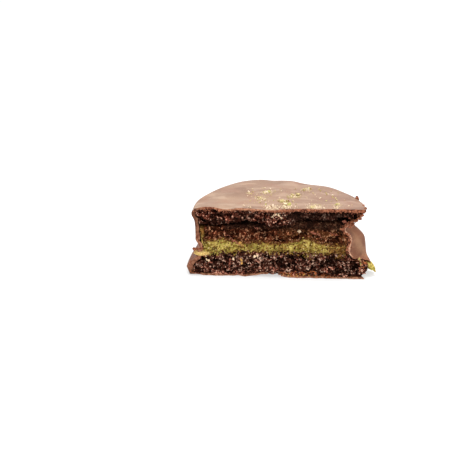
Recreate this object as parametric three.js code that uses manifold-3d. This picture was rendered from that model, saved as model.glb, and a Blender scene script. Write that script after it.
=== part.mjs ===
// Half of a chocolate-coated alfajor: three cocoa biscuits with pistachio cream between them, in a
// milk-chocolate coat, cut through the middle and resting on its base.
// Millimetres. X runs along the cut, +Y goes back from the cut into the round side, +Z is up.
// While the pieces are made the disc's axis is at X = Y = 0; at the end the group is moved so that the
// origin is the middle of the footprint, on the surface that the half rests on.

import * as THREE from 'three';
import { mergeVertices } from 'three/addons/utils/BufferGeometryUtils.js';
import Module from 'manifold-3d';

const wasm = await Module();
wasm.setup();

// ---- Driving dimensions -------------------------------------------------------------------------

const RADIUS = 34.8;          // widest radius of the coated disc, at its foot
const HEIGHT = 27;            // from the base to the middle of the top
const COAT = 1;               // thickness of the chocolate
const GAP = 0.3;              // clearance between layers that lie on each other
const WALL_GAP = 0.65;        // clearance between the layers and the coat round them
const DOME = 0.6;             // how much lower the top's edge is than its middle
const LEAN = 0.02;            // how much the top rises for each millimetre to the right
const RIM_ROUND = 2.6;        // height of the rounded edge between the top and the rim

// The wall's inset from RADIUS at a few heights: foot, waist and rim. The right side is another
// profile, because its shard of coat has been bent out below and tucked in under the rim.
const WALL_INSET = [[0, 1], [4, -0.3], [7, 0.6], [10, 1.6], [13, 3], [18, 3.1], [21.5, 2.4], [24.5, 0.9], [28, 0.5]];
const SHARD_INSET = [
  [0, 1.1], [4, 0.2], [9, 1.2], [13, 2.1], [15, 2.8], [17, 4.5],
  [19, 6.5], [21, 7], [23.5, 6.2], [25.5, 4.1], [28, 1.4],
];
const SHARD_ENDS = [24, 48];  // degrees round from the cut over which the right side turns into the rest

// How far the knife pressed the coat in at the right end of the cut, at a few heights, and over how many
// degrees round from the cut.
const PUSH = [[6.5, 0], [9, 6.5], [12.5, 6.9], [15.4, 5.4], [17.5, 4.2], [19.2, 4.3], [21.6, 2], [23.2, 0]];
const PUSH_OVER = 13;

// The rim is tucked in at the left end of the cut.
const TUCK = 0.7;

// Heights of the layers at the cut.
const LOWER_TOP = 9.7;
const CREAM_TOP = 12.8;
const MIDDLE_TOP = 19;
const UPPER_BOTTOM = 20.5;
const MIDDLE_RADIUS = 29.6;   // the middle biscuit is narrower, so the cream goes up round its left side
const MIDDLE_SHIFT = 1.5;     // and sits a little to the right
const CREAM_RING_TOP = 18.4;

const CRAG = 0.75;            // height of the crags that cutting tore in the biscuits

// ---- Small mathematics --------------------------------------------------------------------------

const lerp = THREE.MathUtils.lerp;
const rise = (from, to, v) => THREE.MathUtils.smoothstep(v, from, to);
const fall = (from, to, v) => 1 - rise(from, to, v);
const hump = (middle, width, v) => Math.exp(-(((v - middle) / width) ** 2));

// A cubic curve through [height, value] knots, with each knot's slope taken from its neighbours.
function along(knots, v) {
  const last = knots.length - 1;
  if (v <= knots[0][0]) return knots[0][1];
  if (v >= knots[last][0]) return knots[last][1];
  const slope = (k) => {
    const [a, b] = [knots[Math.max(k - 1, 0)], knots[Math.min(k + 1, last)]];
    return (b[1] - a[1]) / (b[0] - a[0]);
  };
  const i = knots.findIndex((knot) => knot[0] > v) - 1;
  const step = knots[i + 1][0] - knots[i][0];
  const u = (v - knots[i][0]) / step;
  return (
    knots[i][1] * (1 + 2 * u) * (1 - u) ** 2 + knots[i + 1][1] * u * u * (3 - 2 * u) +
    step * (slope(i) * u * (1 - u) ** 2 - slope(i + 1) * u * u * (1 - u))
  );
}

// Smooth value noise from -1 to 1: a hashed number at each corner of a unit lattice, blended between.
function hash(i, j, k) {
  const v = Math.sin(i * 127.1 + j * 311.7 + k * 74.7) * 43758.5453;
  return 2 * (v - Math.floor(v)) - 1;
}

function noise(x, y, z) {
  const [i, j, k] = [x, y, z].map(Math.floor);
  const [u, v, w] = [x - i, y - j, z - k].map((f) => f * f * (3 - 2 * f));
  const row = (b, c) => lerp(hash(i, j + b, k + c), hash(i + 1, j + b, k + c), u);
  return lerp(lerp(row(0, 0), row(1, 0), v), lerp(row(0, 1), row(1, 1), v), w);
}

// Torn crumb: lumps of about 5 mm with lumps of about 2.5 mm on them.
const crumb = (x, z, seed) => CRAG * (noise(x / 3.1, z / 2.3, seed) + 0.6 * noise(x / 1.5, z / 1.3, seed + 7.5));

// Numbers from 0 to 1 that are the same on every run.
function seeded(seed) {
  let state = seed;
  return () => {
    state = (state * 1664525 + 1013904223) % 4294967296;
    return state / 4294967296;
  };
}

// ---- The disc's form ----------------------------------------------------------------------------

const degrees = (angle) => THREE.MathUtils.radToDeg(angle);

// The disc is a little out of round: fuller at the left and at the back left than at the right.
const roundness = (angle) =>
  1 + 0.08 * Math.cos(3 * angle) * Math.sin(angle) + 0.012 * Math.cos(2 * angle - 3.8) +
  0.03 * (hump(160, 14, degrees(angle)) - hump(25, 18, degrees(angle)));

// The top of the coat: a low dome that rises to the right, with soft waves that run back from the cut.
function topOf(x, y) {
  const dome = DOME * ((x * x + y * y) / RADIUS ** 2) ** 2;
  const waves = 0.2 * Math.sin(x / 2.6 - y / 5 + noise(x / 9, y / 9, 3)) * rise(0, 12, y);
  const lip = 0.9 * hump(-27, 5, x) * fall(0, 9, y);
  const edge = (0.35 * hump(-15, 3, x) - 0.4 * hump(-20.5, 2.6, x) - 0.35 * hump(-3, 4, x)) * fall(0, 4, y);
  return HEIGHT - dome + LEAN * x + waves + lip + edge;
}

// Radius of the coat's outside at an angle round from the cut's right end and a height. With no pushing it
// is the form that the disc had before the knife pressed the shard in.
function outside(angle, z, pushing = 1) {
  const right = fall(...SHARD_ENDS, degrees(angle));
  const inset = lerp(along(WALL_INSET, z), along(SHARD_INSET, z), right);
  const push = pushing * along(PUSH, z) * fall(0, PUSH_OVER, degrees(angle));
  const tuck = TUCK * hump(180, 15, degrees(angle)) * hump(23.5, 4, z);
  const top = topOf(RADIUS * Math.cos(angle), RADIUS * Math.sin(angle));
  const u = THREE.MathUtils.clamp((z - top + RIM_ROUND) / RIM_ROUND, 0, 1);
  const edge = RIM_ROUND * 0.75 * (1 - Math.sqrt(1 - u * u * 0.98));
  return RADIUS * roundness(angle) - inset - push - tuck - edge + 0.25 * noise(angle * 4, z / 7, 11);
}

const inside = (angle, z) => outside(angle, z) - COAT;

// The surfaces between the layers, as heights over a point of the plan. They are uneven near the cut.
const unevenness = (x, y, seed) => noise(x / 3.5, 0, seed) * fall(4, 14, y);
const lowerTop = (x, y) => {
  const rightEnd = rise(25, 36.5, x) * (1.6 + 5 * fall(5, 11, y)); // crumbled away, where the coat is off
  return LOWER_TOP - 1.7 * fall(-31, -20, x) - rightEnd + 0.35 * unevenness(x, y, 21);
};
const creamTop = (x, y) =>
  CREAM_TOP + 0.7 * hump(-22, 6, x) + 1.6 * hump(9, 5, x) + 0.3 * unevenness(x, y, 31);
const middleTop = (x, y) => MIDDLE_TOP + 1.2 * rise(1, 6, x) + 0.2 * rise(2, 8, y) + 0.2 * unevenness(x, y, 41);
const upperBottom = (x, y) => {
  const torn = 0.6 * fall(-21, -17, x) + 0.7 * hump(-2.5, 3.4, x) - 1.3 * hump(-11.5, 4.5, x) - 0.7 * rise(2, 6, x);
  const rightEnd = 1.9 * rise(17, 25, x) * fall(8, 13, y);
  return UPPER_BOTTOM - torn * fall(3, 8, y) + rightEnd + 0.15 * unevenness(x, y, 51);
};

// ---- From a block to a piece of the disc --------------------------------------------------------

// A closed half disc, made from a block. The block's plan, -1 to 1 by 0 to 1, is pressed into a half circle
// with its front side on the cut; its walls go out to wall(angle, z), its floor and roof to bottom(x, y) and
// top(x, y), and its front face to front(x, z). A grown one is larger by that much all over. An open one
// goes on forwards past the cut, so that it can cut a hollow.
function halfDisc({ wall, bottom, top, front, cells, grown = 0, open = false, shift = 0 }) {
  const [across, back, up] = cells;
  const block = new THREE.BoxGeometry(2, 1, 1, across, back, up).translate(0, 0.5, 0.5);
  const points = block.getAttribute('position');
  for (let i = 0; i < points.count; i++) {
    const s = points.getX(i);
    const row = points.getY(i);
    const w = points.getZ(i);
    const t = (open ? Math.max(0, row - 1 / back) / (1 - 1 / back) : row) ** 1.4;
    const planX = s * Math.sqrt(1 - (t * t) / 2);
    const planY = t * Math.sqrt(1 - (s * s) / 2);
    const angle = Math.atan2(planY, planX);
    let [x, y, z] = [0, 0, 0];
    for (let pass = 0; pass < 3; pass++) {
      z = lerp(bottom(x, y) - grown, top(x, y) + grown, w);
      const radius = wall(angle, z) + grown;
      x = planX * radius + shift;
      y = planY * radius;
    }
    if (open && row === 0) y = -RADIUS / 3;
    if (!open) y += (front(x, z) - grown) * (1 - t) ** 5;
    points.setXYZ(i, x, y, z);
  }
  return solidOf(block);
}

// A lump: a ball of unit radius, stretched, roughened and placed.
function lump({ at, size, turn = [0, 0, 0], rough = 0.15, seed = 1, detail = 1, grown = 0 }) {
  const ball = new THREE.IcosahedronGeometry(1, detail);
  const points = ball.getAttribute('position');
  const p = new THREE.Vector3();
  const toPlace = new THREE.Matrix4().compose(
    new THREE.Vector3(...at),
    new THREE.Quaternion().setFromEuler(new THREE.Euler(...turn)),
    new THREE.Vector3(...size.map((side) => side + grown)),
  );
  for (let i = 0; i < points.count; i++) {
    p.fromBufferAttribute(points, i);
    p.multiplyScalar(1 + rough * noise(p.x * 2 + seed * 9, p.y * 2, p.z * 2)).applyMatrix4(toPlace);
    points.setXYZ(i, p.x, p.y, p.z);
  }
  return solidOf(ball);
}

function solidOf(geometry) {
  geometry.deleteAttribute('normal');
  geometry.deleteAttribute('uv');
  const merged = mergeVertices(geometry, 1e-4);
  return new wasm.Manifold(
    new wasm.Mesh({
      numProp: 3,
      vertProperties: new Float32Array(merged.getAttribute('position').array),
      triVerts: new Uint32Array(merged.index.array),
    }),
  );
}

// The largest piece of a solid, without the scraps that cutting can leave.
function largest(solid) {
  return solid.decompose().reduce((a, b) => (b.volume() > a.volume() ? b : a));
}

function meshOf(name, solid, material) {
  const made = largest(solid).getMesh();
  const geometry = new THREE.BufferGeometry();
  geometry.setAttribute('position', new THREE.BufferAttribute(new Float32Array(made.vertProperties), 3));
  geometry.setIndex(new THREE.BufferAttribute(new Uint32Array(made.triVerts), 1));
  geometry.computeVertexNormals();
  const mesh = new THREE.Mesh(geometry, material);
  mesh.name = name;
  return mesh;
}

// ---- Materials ----------------------------------------------------------------------------------

const milkChocolate = new THREE.MeshStandardMaterial({ color: 0xa8795c, roughness: 0.4, metalness: 0 });
const cocoaBiscuit = new THREE.MeshStandardMaterial({ color: 0x3f2219, roughness: 0.95, metalness: 0 });
const soakedBiscuit = new THREE.MeshStandardMaterial({ color: 0x54301f, roughness: 0.9, metalness: 0 });
const pistachioCream = new THREE.MeshStandardMaterial({ color: 0x93852f, roughness: 0.6, metalness: 0 });

// ---- The pieces ---------------------------------------------------------------------------------

// The bottom biscuit stands a little forward at its foot.
const lowerSpec = {
  wall: (angle, z) => inside(angle, z) - WALL_GAP,
  bottom: () => COAT + GAP,
  top: lowerTop,
  front: (x, z) => 0.3 - 1.1 * fall(0, 9, z) + crumb(x, z, 61),
  cells: [36, 4, 5],
};

const middleSpec = {
  wall: (angle, z) => Math.min(MIDDLE_RADIUS, inside(angle, z) - 2.5 * WALL_GAP - MIDDLE_SHIFT * Math.cos(angle)),
  bottom: (x, y) => creamTop(x, y) + GAP,
  top: middleTop,
  front: (x, z) => 1 + 2 * rise(15, 19.2, z) * rise(-21, -14, x) + crumb(x, z, 71),
  cells: [32, 3, 5],
  shift: MIDDLE_SHIFT,
};

// The top biscuit hangs forward in clumps on the left and in the middle, and is torn away further right.
const upperSpec = {
  wall: (angle, z) => outside(angle, z, 0) - COAT - WALL_GAP,
  bottom: upperBottom,
  top: (x, y) => topOf(x, y) - COAT - GAP,
  front: (x, z) =>
    0.7 + 2.4 * rise(2, 8, x) * fall(25, 30, x) - 1.2 * hump(-2, 4.5, x) * hump(22, 2.2, z) +
    0.8 * crumb(x, z, 81),
  cells: [42, 4, 5],
};

// Crumbs that stand out from it at the right end, where the coat has broken away.
const BARE_CRUMBS = [
  { at: [26.4, 1.8, 23.6], size: [1.6, 1.5, 0.8], turn: [0, -0.2, 0], seed: 31 },
  { at: [28.1, 2.3, 25], size: [1.9, 1.7, 0.8], turn: [0, -0.5, 0], seed: 32 },
  { at: [28.6, 6, 24.8], size: [1.6, 1.6, 0.9], turn: [0, -0.4, 0.3], seed: 33 },
];

const upper = () => BARE_CRUMBS.reduce((solid, one) => solid.add(lump(one)), halfDisc(upperSpec));

// Cream fills the space between the lower and the middle biscuit, and goes up round the middle one's left
// side. It has been squeezed out over the lower biscuit's right end, and through a crack at the left.
const LEAK = { at: [33.6, 4.4, 3.6], size: [1.2, 3.2, 3], turn: [0, -0.76, 0.1], rough: 0.2, seed: 4, detail: 2 };
const LEAK_NECK = { at: [30.8, 4.6, 7.1], size: [3.8, 2.3, 1.2], turn: [0, 0.68, 0.1], seed: 5, detail: 1 };
const LEFT_LEAK = { at: [-29.8, 1.1, 8.5], size: [3.2, 2, 0.8], turn: [0, 0.05, 0], seed: 6, detail: 1 };

function cream() {
  const filled = halfDisc({
    wall: (angle, z) => inside(angle, z) - WALL_GAP,
    bottom: (x, y) => lowerTop(x, y) + GAP,
    top: () => CREAM_RING_TOP,
    front: (x, z) => 0.8 + 0.9 * crumb(x, z, 91),
    cells: [36, 4, 4],
  });
  const roomForMiddle = halfDisc({
    ...middleSpec,
    bottom: creamTop,
    top: () => MIDDLE_TOP + 1,
    wall: (angle, z) => middleSpec.wall(angle, z) + 1.5 * GAP,
    cells: [32, 4, 5],
    open: true,
  });
  return filled
    .subtract(roomForMiddle)
    .add(lump(LEAK))
    .add(lump(LEAK_NECK))
    .add(lump(LEFT_LEAK))
    .subtract(halfDisc({ ...lowerSpec, grown: 1.8 * GAP }));
}

// The coat is a shell round the stack. It is missing along the right end of the rim and of the foot, and a
// crack runs in from the cut at the left.
const RIM_BREAK = { at: [31, 0.5, 24], size: [11, 10.5, 2.2], turn: [0, 0, -0.15], rough: 0.12, seed: 12 };
const FOOT_BREAK = { at: [31.5, -1.5, 5.9], size: [8, 9.5, 3.9], turn: [-0.35, 0, 0.1], rough: 0.15, seed: 14 };
const LEFT_CRACK = { at: [-33, 0, 8.6], size: [4, 3, 1.2], turn: [0, 0.1, 0], rough: 0.2, seed: 16 };
const FOOT_CHIP = { at: [-1.9, -1.4, 0.4], size: [2.5, 2.4, 1.6], turn: [0, 0, 0.1], rough: 0.2, seed: 18 };
const CORNER_CHIP = { at: [33.8, -1, 0.2], size: [2.6, 5, 2.4], turn: [0, 0, 0.5], rough: 0.25, seed: 20 };

function coat() {
  const block = halfDisc({
    wall: outside,
    bottom: () => 0,
    top: topOf,
    front: (x, z) => -0.5 * hump(2, 22, x) - 0.6 * fall(0, 9, z) + 0.25 * noise(x / 2.2, z / 3, 17),
    cells: [30, 8, 11],
  });
  const hollow = halfDisc({
    wall: inside,
    bottom: () => COAT,
    top: (x, y) => topOf(x, y) - COAT,
    cells: [22, 5, 12],
    open: true,
  });
  let shell = block.subtract(hollow);
  for (const missing of [RIM_BREAK, FOOT_BREAK, LEFT_CRACK, FOOT_CHIP, CORNER_CHIP]) {
    shell = shell.subtract(lump({ ...missing, detail: 2 }));
  }
  for (const standing of [LEAK, LEAK_NECK, LEFT_LEAK, ...BARE_CRUMBS]) {
    shell = shell.subtract(lump({ ...standing, grown: GAP }));
  }
  return largest(shell).add(flecks());
}

// Pinches of ground pistachio that fell on the coat: the middle of each in X and Y, how far its flecks
// strewed round it, and how many of them show from a step away.
const PINCHES = [
  { x: -12.5, y: 16.7, strewn: 0.7, flecks: 1 },
  { x: -5.7, y: 17.9, strewn: 1.4, flecks: 4 },
  { x: -7.8, y: 10.4, strewn: 1.8, flecks: 2 },
  { x: 9.6, y: 21.8, strewn: 1.3, flecks: 4 },
  { x: 5, y: 13.6, strewn: 1.8, flecks: 4 },
  { x: 1.4, y: 7.4, strewn: 1.4, flecks: 4 },
  { x: -3.8, y: 1.8, strewn: 1.8, flecks: 3 },
  { x: 1.6, y: 2.6, strewn: 1.6, flecks: 3 },
  { x: 12.2, y: 1.8, strewn: 2.2, flecks: 4 },
  { x: 20.4, y: 3.6, strewn: 1.1, flecks: 2 },
];

function flecks() {
  const random = seeded(29);
  const made = [];
  for (const { x, y, strewn, flecks: count } of PINCHES) {
    for (let i = 0; i < count; i++) {
      const around = 2 * Math.PI * random();
      const far = strewn * Math.sqrt(random());
      const side = 0.42 + 0.4 * random() ** 2;
      const at = [x + far * Math.cos(around), Math.max(1, y + far * Math.sin(around))];
      const turn = [random() * 3, random() * 3, random() * 3];
      const size = [side * 1.5, side, side * 0.8];
      at.push(topOf(...at) + side * 0.25);
      made.push(lump({ at, size, turn, rough: 0.3, seed: made.length, detail: 0 }));
    }
  }
  return wasm.Manifold.union(made);
}

const alfajor = new THREE.Group();
alfajor.add(
  meshOf('chocolate_coat', coat(), milkChocolate),
  meshOf('upper_biscuit', upper(), cocoaBiscuit),
  meshOf('middle_biscuit', halfDisc(middleSpec), soakedBiscuit),
  meshOf('pistachio_cream', cream(), pistachioCream),
  meshOf('lower_biscuit', halfDisc(lowerSpec), cocoaBiscuit),
);

const extent = new THREE.Box3().setFromObject(alfajor, true);
const middle = extent.getCenter(new THREE.Vector3());
alfajor.position.set(-middle.x, -middle.y, -extent.min.z);

export default alfajor;
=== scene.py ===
# %% [markdown]
# # Half of a chocolate-coated alfajor
# Three dark cocoa biscuits are stacked with pistachio cream and dipped in milk chocolate. A knife has
# halved the cookie, so the cut shows every layer: torn crumb, soft cream, and the coat as a thin line
# round them. The fixed frame holds each layer as a plain solid. Here every solid gets a modelled skin
# with the crumb, teeth, cracks and dust that a cook would see, and the loose grains lie on top of it.

import math

import bmesh
import bpy
import numpy as np
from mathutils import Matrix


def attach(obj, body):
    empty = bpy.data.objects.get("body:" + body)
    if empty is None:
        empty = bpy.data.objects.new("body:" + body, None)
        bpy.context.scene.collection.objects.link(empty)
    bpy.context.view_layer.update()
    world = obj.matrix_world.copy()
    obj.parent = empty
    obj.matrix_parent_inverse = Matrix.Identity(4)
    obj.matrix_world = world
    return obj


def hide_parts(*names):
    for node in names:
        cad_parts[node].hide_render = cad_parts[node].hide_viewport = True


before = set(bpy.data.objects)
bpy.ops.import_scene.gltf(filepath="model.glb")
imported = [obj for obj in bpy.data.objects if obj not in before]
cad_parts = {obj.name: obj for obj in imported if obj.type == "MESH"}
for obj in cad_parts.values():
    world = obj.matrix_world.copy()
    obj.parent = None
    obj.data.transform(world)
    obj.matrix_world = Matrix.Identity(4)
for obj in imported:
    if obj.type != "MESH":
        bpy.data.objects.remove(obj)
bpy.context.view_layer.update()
print("solids:", sorted(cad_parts))

# %% [markdown]
# ## The cookie's own measures
# All lengths are millimetres from the disc's axis, as a cook would measure them, and each mesh is moved
# to the frame when it is made. The wall of the coat goes in at the waist, because the middle biscuit is
# narrower than the other two, so its profile is a short table of insets at a few heights. The knife's
# push at the right end is another such table.

# %% Measures
RADIUS, HEIGHT = 34.8, 27.0
DOME, LEAN, RIM_ROUND = 0.6, 0.02, 2.6
# Pairs of height and inset.
WALL_INSET = [(0, 1), (4, -0.3), (7, 0.6), (10, 1.6), (13, 3), (18, 3.1), (21.5, 2.4), (24.5, 0.9), (28, 0.5)]
SHARD_INSET = [
    (0, 1.1), (4, 0.2), (9, 1.2), (13, 2.1), (15, 2.8), (17, 4.5), (19, 6.5), (21, 7), (23.5, 6.2),
    (25.5, 4.1), (28, 1.4)]
PUSH = [(6.5, 0), (9, 6.5), (12.5, 6.9), (15.4, 5.4), (17.5, 4.2), (19.2, 4.3), (21.6, 2), (23.2, 0)]
SHARD_ENDS, PUSH_OVER = (24, 48), 13  # degrees from the cut's right end
TUCK, NOTCH = 0.7, 2.6  # how far in the wall is at the cut's left end, under the rim and round the crack
LOWER_TOP, CREAM_TOP, MIDDLE_TOP, UPPER_BOTTOM = 9.7, 12.8, 19.0, 20.5
MIDDLE_RADIUS, MIDDLE_SHIFT = 29.6, 1.5
CREAM_RING_TOP = 18.4
LOWER_IN, CREAM_IN, MIDDLE_IN, UPPER_IN = 1.05, 1.2, 1.8, 1.05  # from the coat's outside to each layer
FRONT_LIMIT, HIGHEST = -1.36, 28.2  # nothing stands further forward or higher than this
AXIS = np.array([-0.523, -17.501, 0.0])  # the disc's axis in the frame


def lerp(a, b, t):
    return a + (b - a) * t


def rise(low, high, v):
    """3u^2 - 2u^3 for u = (v - low)/(high - low), held between 0 and 1."""
    u = np.clip((v - low) / (high - low), 0, 1)
    return u * u * (3 - 2 * u)


def fall(low, high, v):
    return 1 - rise(low, high, v)


def hump(middle, width, v):
    """exp(-((v - middle)/width)^2)."""
    return np.exp(-(((v - middle) / width) ** 2))


def along(knots, v):
    """Cubic Hermite curve through (height, value) knots, slopes from each knot's two neighbours."""
    at, value = np.array(knots, float).T
    v = np.clip(v, at[0], at[-1] - 1e-9)
    knot = np.arange(len(at))
    before, after = np.maximum(knot - 1, 0), np.minimum(knot + 1, len(at) - 1)
    slope = (value[after] - value[before]) / (at[after] - at[before])
    i = np.clip(np.searchsorted(at, v, "right") - 1, 0, len(at) - 2)
    step = at[i + 1] - at[i]
    u = (v - at[i]) / step
    return (
        value[i] * (1 + 2 * u) * (1 - u) ** 2 + value[i + 1] * u * u * (3 - 2 * u)
        + step * (slope[i] * u * (1 - u) ** 2 - slope[i + 1] * u * u * (1 - u))
    )


# %% [markdown]
# ## Noise
# Crumb, streaks and broken edges are irregular but not random from run to run. A hashed number sits at
# each corner of a unit lattice: blended between corners it gives soft unevenness, and as the seed of a
# small ball in each lattice cell it gives lumps that press against each other, like torn crumb.

# %% Noise functions
def corner(i, j, k):
    """fract(43758.5453 sin(127.1 i + 311.7 j + 74.7 k)), from -1 to 1."""
    v = np.sin(i * 127.1 + j * 311.7 + k * 74.7) * 43758.5453
    return 2 * (v - np.floor(v)) - 1


def noise(x, y, z):
    """Smooth value noise from -1 to 1 with a period of one unit."""
    x, y, z = np.broadcast_arrays(*(np.asarray(v, float) for v in (x, y, z)))
    i, j, k = np.floor(x), np.floor(y), np.floor(z)
    u, v, w = ((f * f * (3 - 2 * f)) for f in (x - i, y - j, z - k))

    def row(b, c):
        return lerp(corner(i, j + b, k + c), corner(i + 1, j + b, k + c), u)

    return lerp(lerp(row(0, 0), row(1, 0), v), lerp(row(0, 1), row(1, 1), v), w)


def rough(x, y, z, octaves=3):
    """Sum of noise(2^n p)/2^n."""
    return sum(noise(x * 2**n, y * 2**n, z * 2**n + 17 * n) / 2**n for n in range(octaves))


def lumps(x, z, size, seed, reach=0.8):
    """Height and tone of balls, one to a cell of the given size: max over cells of h sqrt(1 - d^2/reach)."""
    p, q = x / size, z / size
    height, tone = np.zeros_like(p), np.full_like(p, 0.5)
    for di in (-1, 0, 1):
        for dj in (-1, 0, 1):
            i, j = np.floor(p) + di, np.floor(q) + dj
            cx = i + 0.5 + 0.45 * corner(i, j, seed)
            cz = j + 0.5 + 0.45 * corner(i, j, seed + 1)
            tall = 0.7 + 0.3 * corner(i, j, seed + 2)
            far = ((p - cx) ** 2 + (q - cz) ** 2) / reach
            ball = tall * np.sqrt(np.clip(1 - far, 0, 1))
            higher = ball > height
            height = np.where(higher, ball, height)
            tone = np.where(higher, 0.5 + 0.5 * corner(i, j, seed + 3), tone)
    return height, tone


# %% [markdown]
# ## The form of the disc
# The coated disc is a little out of round, its top a low dome with soft waves that the chocolate set in,
# and its edge rounded where the coat ran over the rim. At the right end the knife pushed a shard of the
# wall in, so the profile there is another one, blended into the rest behind it. At the left end the coat
# cracked and gave way, which left a dent, and in front the foot doesn't quite touch the table.

# %% Outline functions
def roundness(angle):
    """How far the disc is out of round: 1 and three waves, fuller at the left and flatter at the right."""
    fuller = 0.03 * (hump(160, 14, np.degrees(angle)) - hump(25, 18, np.degrees(angle)))
    return 1 + 0.08 * np.cos(3 * angle) * np.sin(angle) + 0.012 * np.cos(2 * angle - 3.8) + fuller


def top_of(x, y):
    """The coat's height over the plan: a dome that leans right, waves behind the cut, a lip at the left."""
    dome = DOME * ((x * x + y * y) / RADIUS**2) ** 2
    waves = 0.2 * np.sin(x / 2.6 - y / 5 + noise(x / 9, y / 9, 3)) * rise(0, 12, y)
    lip = 0.9 * hump(-27, 5, x) * fall(0, 9, y)
    edge = (0.35 * hump(-15, 3, x) - 0.4 * hump(-20.5, 2.6, x) - 0.35 * hump(-3, 4, x)) * fall(0, 4, y)
    return HEIGHT - dome + LEAN * x + waves + lip + edge


def outside(angle, z, push=1.0):
    """Radius of the coat's outside at an angle from the cut's right end and a height.

    It is the disc's radius less the profile's inset, the push, the rounded rim and the dent.
    """
    deg = np.degrees(angle)
    inset = lerp(along(WALL_INSET, z), along(SHARD_INSET, z), fall(*SHARD_ENDS, deg))
    pushed = push * along(PUSH, z) * fall(0, PUSH_OVER, deg) + TUCK * hump(180, 15, deg) * hump(23.5, 4, z)
    top = top_of(RADIUS * np.cos(angle), RADIUS * np.sin(angle))
    u = np.clip((z - top + RIM_ROUND) / RIM_ROUND, 0, 1)
    edge = RIM_ROUND * 0.75 * (1 - np.sqrt(1 - u * u * 0.98))
    dent = NOTCH * rise(152, 172, deg) * rise(3, 8, z) * fall(10.5, 14.5, z)
    return RADIUS * roundness(angle) - inset - pushed - edge - dent + 0.25 * noise(angle * 4, z / 7, 11)


def hang(angle, z):
    """How much further in the shard's lowest 2 mm are, which hang straight down and don't turn out."""
    return 3.0 * hump(7.4, 0.9, z) * fall(0, PUSH_OVER, np.degrees(angle))


def skin(angle, z):
    """Thickness of the coat: thin round the rim and in the shard, thickest at the waist's left end."""
    deg = np.degrees(angle)
    wall = 0.65 - 0.15 * fall(14, 30, deg) + 0.5 * hump(15, 4, z) * rise(150, 170, deg)
    return lerp(lerp(0.7, wall, rise(0.5, 3, z)), 0.75, rise(23.5, 26, z))


def held_back(y):
    """y where it is above -0.7; further forward it comes ever closer to FRONT_LIMIT and never past it."""
    room = -0.7 - FRONT_LIMIT
    return np.where(y > -0.7, y, FRONT_LIMIT + room * np.exp(np.minimum(y + 0.7, 0) / room))


def unevenness(x, y, seed):
    """Waves of a layer's surface behind the cut, 3.5 mm long."""
    return noise(x / 3.5, 0, seed) * fall(4, 14, y)


def raised(x, y):
    """How far the foot is off the table in front: 1.2 mm left of the chip, nothing 5 mm further back."""
    return 1.2 * rise(-13, -5, x) * fall(-4, 4, x) * fall(0.5, 5, y)


def lower_top(x, y):
    right_end = rise(25, 36.5, x) * (1.6 + 5 * fall(5, 11, y))
    return LOWER_TOP - 1.7 * fall(-31, -20, x) - right_end + 0.35 * unevenness(x, y, 21)


def cream_top(x, y):
    return CREAM_TOP + 0.7 * hump(-22, 6, x) + 1.6 * hump(9, 5, x) + 0.3 * unevenness(x, y, 31)


def middle_top(x, y):
    return MIDDLE_TOP + 1.2 * rise(1, 6, x) + 0.2 * rise(2, 8, y) + 0.2 * unevenness(x, y, 41)


def upper_bottom(x, y):
    torn = 0.6 * fall(-21, -17, x) + 0.7 * hump(-2.5, 3.4, x)
    torn = torn - 1.3 * hump(-11.5, 4.5, x) - 0.7 * rise(2, 6, x)
    right_end = 1.9 * rise(17, 25, x) * fall(8, 13, y)
    return UPPER_BOTTOM - torn * fall(3, 8, y) + right_end + 0.15 * unevenness(x, y, 51)


# %% [markdown]
# ## From arrays to pieces
# A layer is a loop round its section, drawn at hundreds of places along the cut: up the cut face, back
# over the top, down the round wall, forward under the bottom. The places are close together where the cut
# runs straight and follow the arc at its ends. The coat is a sheet with an outer and an inner side, and
# where two cells of it are missing their neighbours are joined by a broken edge.

# %% Mesh helpers
def spread(step, arc):
    """Angles from 0 to pi, at most `step` mm apart along the cut and `arc` mm apart round the wall."""
    fine = np.linspace(0.006, math.pi - 0.006, 8001)
    need = np.maximum(RADIUS * np.sin(fine) / step, RADIUS / arc)
    total = np.concatenate([[0], np.cumsum((need[1:] + need[:-1]) / 2 * np.diff(fine))])
    return np.interp(np.linspace(0, total[-1], int(total[-1]) + 1), total, fine)


def piece(name, points, faces, smooth=True):
    """A mesh object from points in mm and a list of faces, turned outward by its signed volume."""
    mesh = bpy.data.meshes.new(name)
    mesh.from_pydata(((points + AXIS) * 1e-3).tolist(), [], faces)
    mesh.update()
    obj = bpy.data.objects.new(name, mesh)
    bpy.context.scene.collection.objects.link(obj)
    work = bmesh.new()
    work.from_mesh(mesh)
    if work.calc_volume(signed=True) < 0:
        bmesh.ops.reverse_faces(work, faces=work.faces)
    open_edges = sum(1 for e in work.edges if not e.is_manifold)
    triangles = sum(len(f.verts) - 2 for f in work.faces)
    work.to_mesh(mesh)
    work.free()
    mesh.polygons.foreach_set("use_smooth", np.full(len(mesh.polygons), smooth))
    print(f"{name}: {triangles} triangles, {open_edges} open edges")
    return obj


def paint(obj, **values):
    """Stores one number for each point of the mesh under each name, for the finish to read."""
    for name, value in values.items():
        layer = obj.data.attributes.new(name, "FLOAT", "POINT")
        layer.data.foreach_set("value", np.ascontiguousarray(value, np.float32).ravel())


def loop_faces(columns, rows):
    """Quads of a grid whose rows close on themselves, and one face over the loop at each end."""
    i, j = np.meshgrid(np.arange(columns - 1), np.arange(rows), indexing="ij")
    k = (j + 1) % rows
    quads = np.stack([i * rows + j, (i + 1) * rows + j, (i + 1) * rows + k, i * rows + k], -1).reshape(-1, 4)
    ends = [list(range(rows)), list(range((columns - 1) * rows + rows - 1, (columns - 1) * rows - 1, -1))]
    return quads.tolist() + ends


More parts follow.
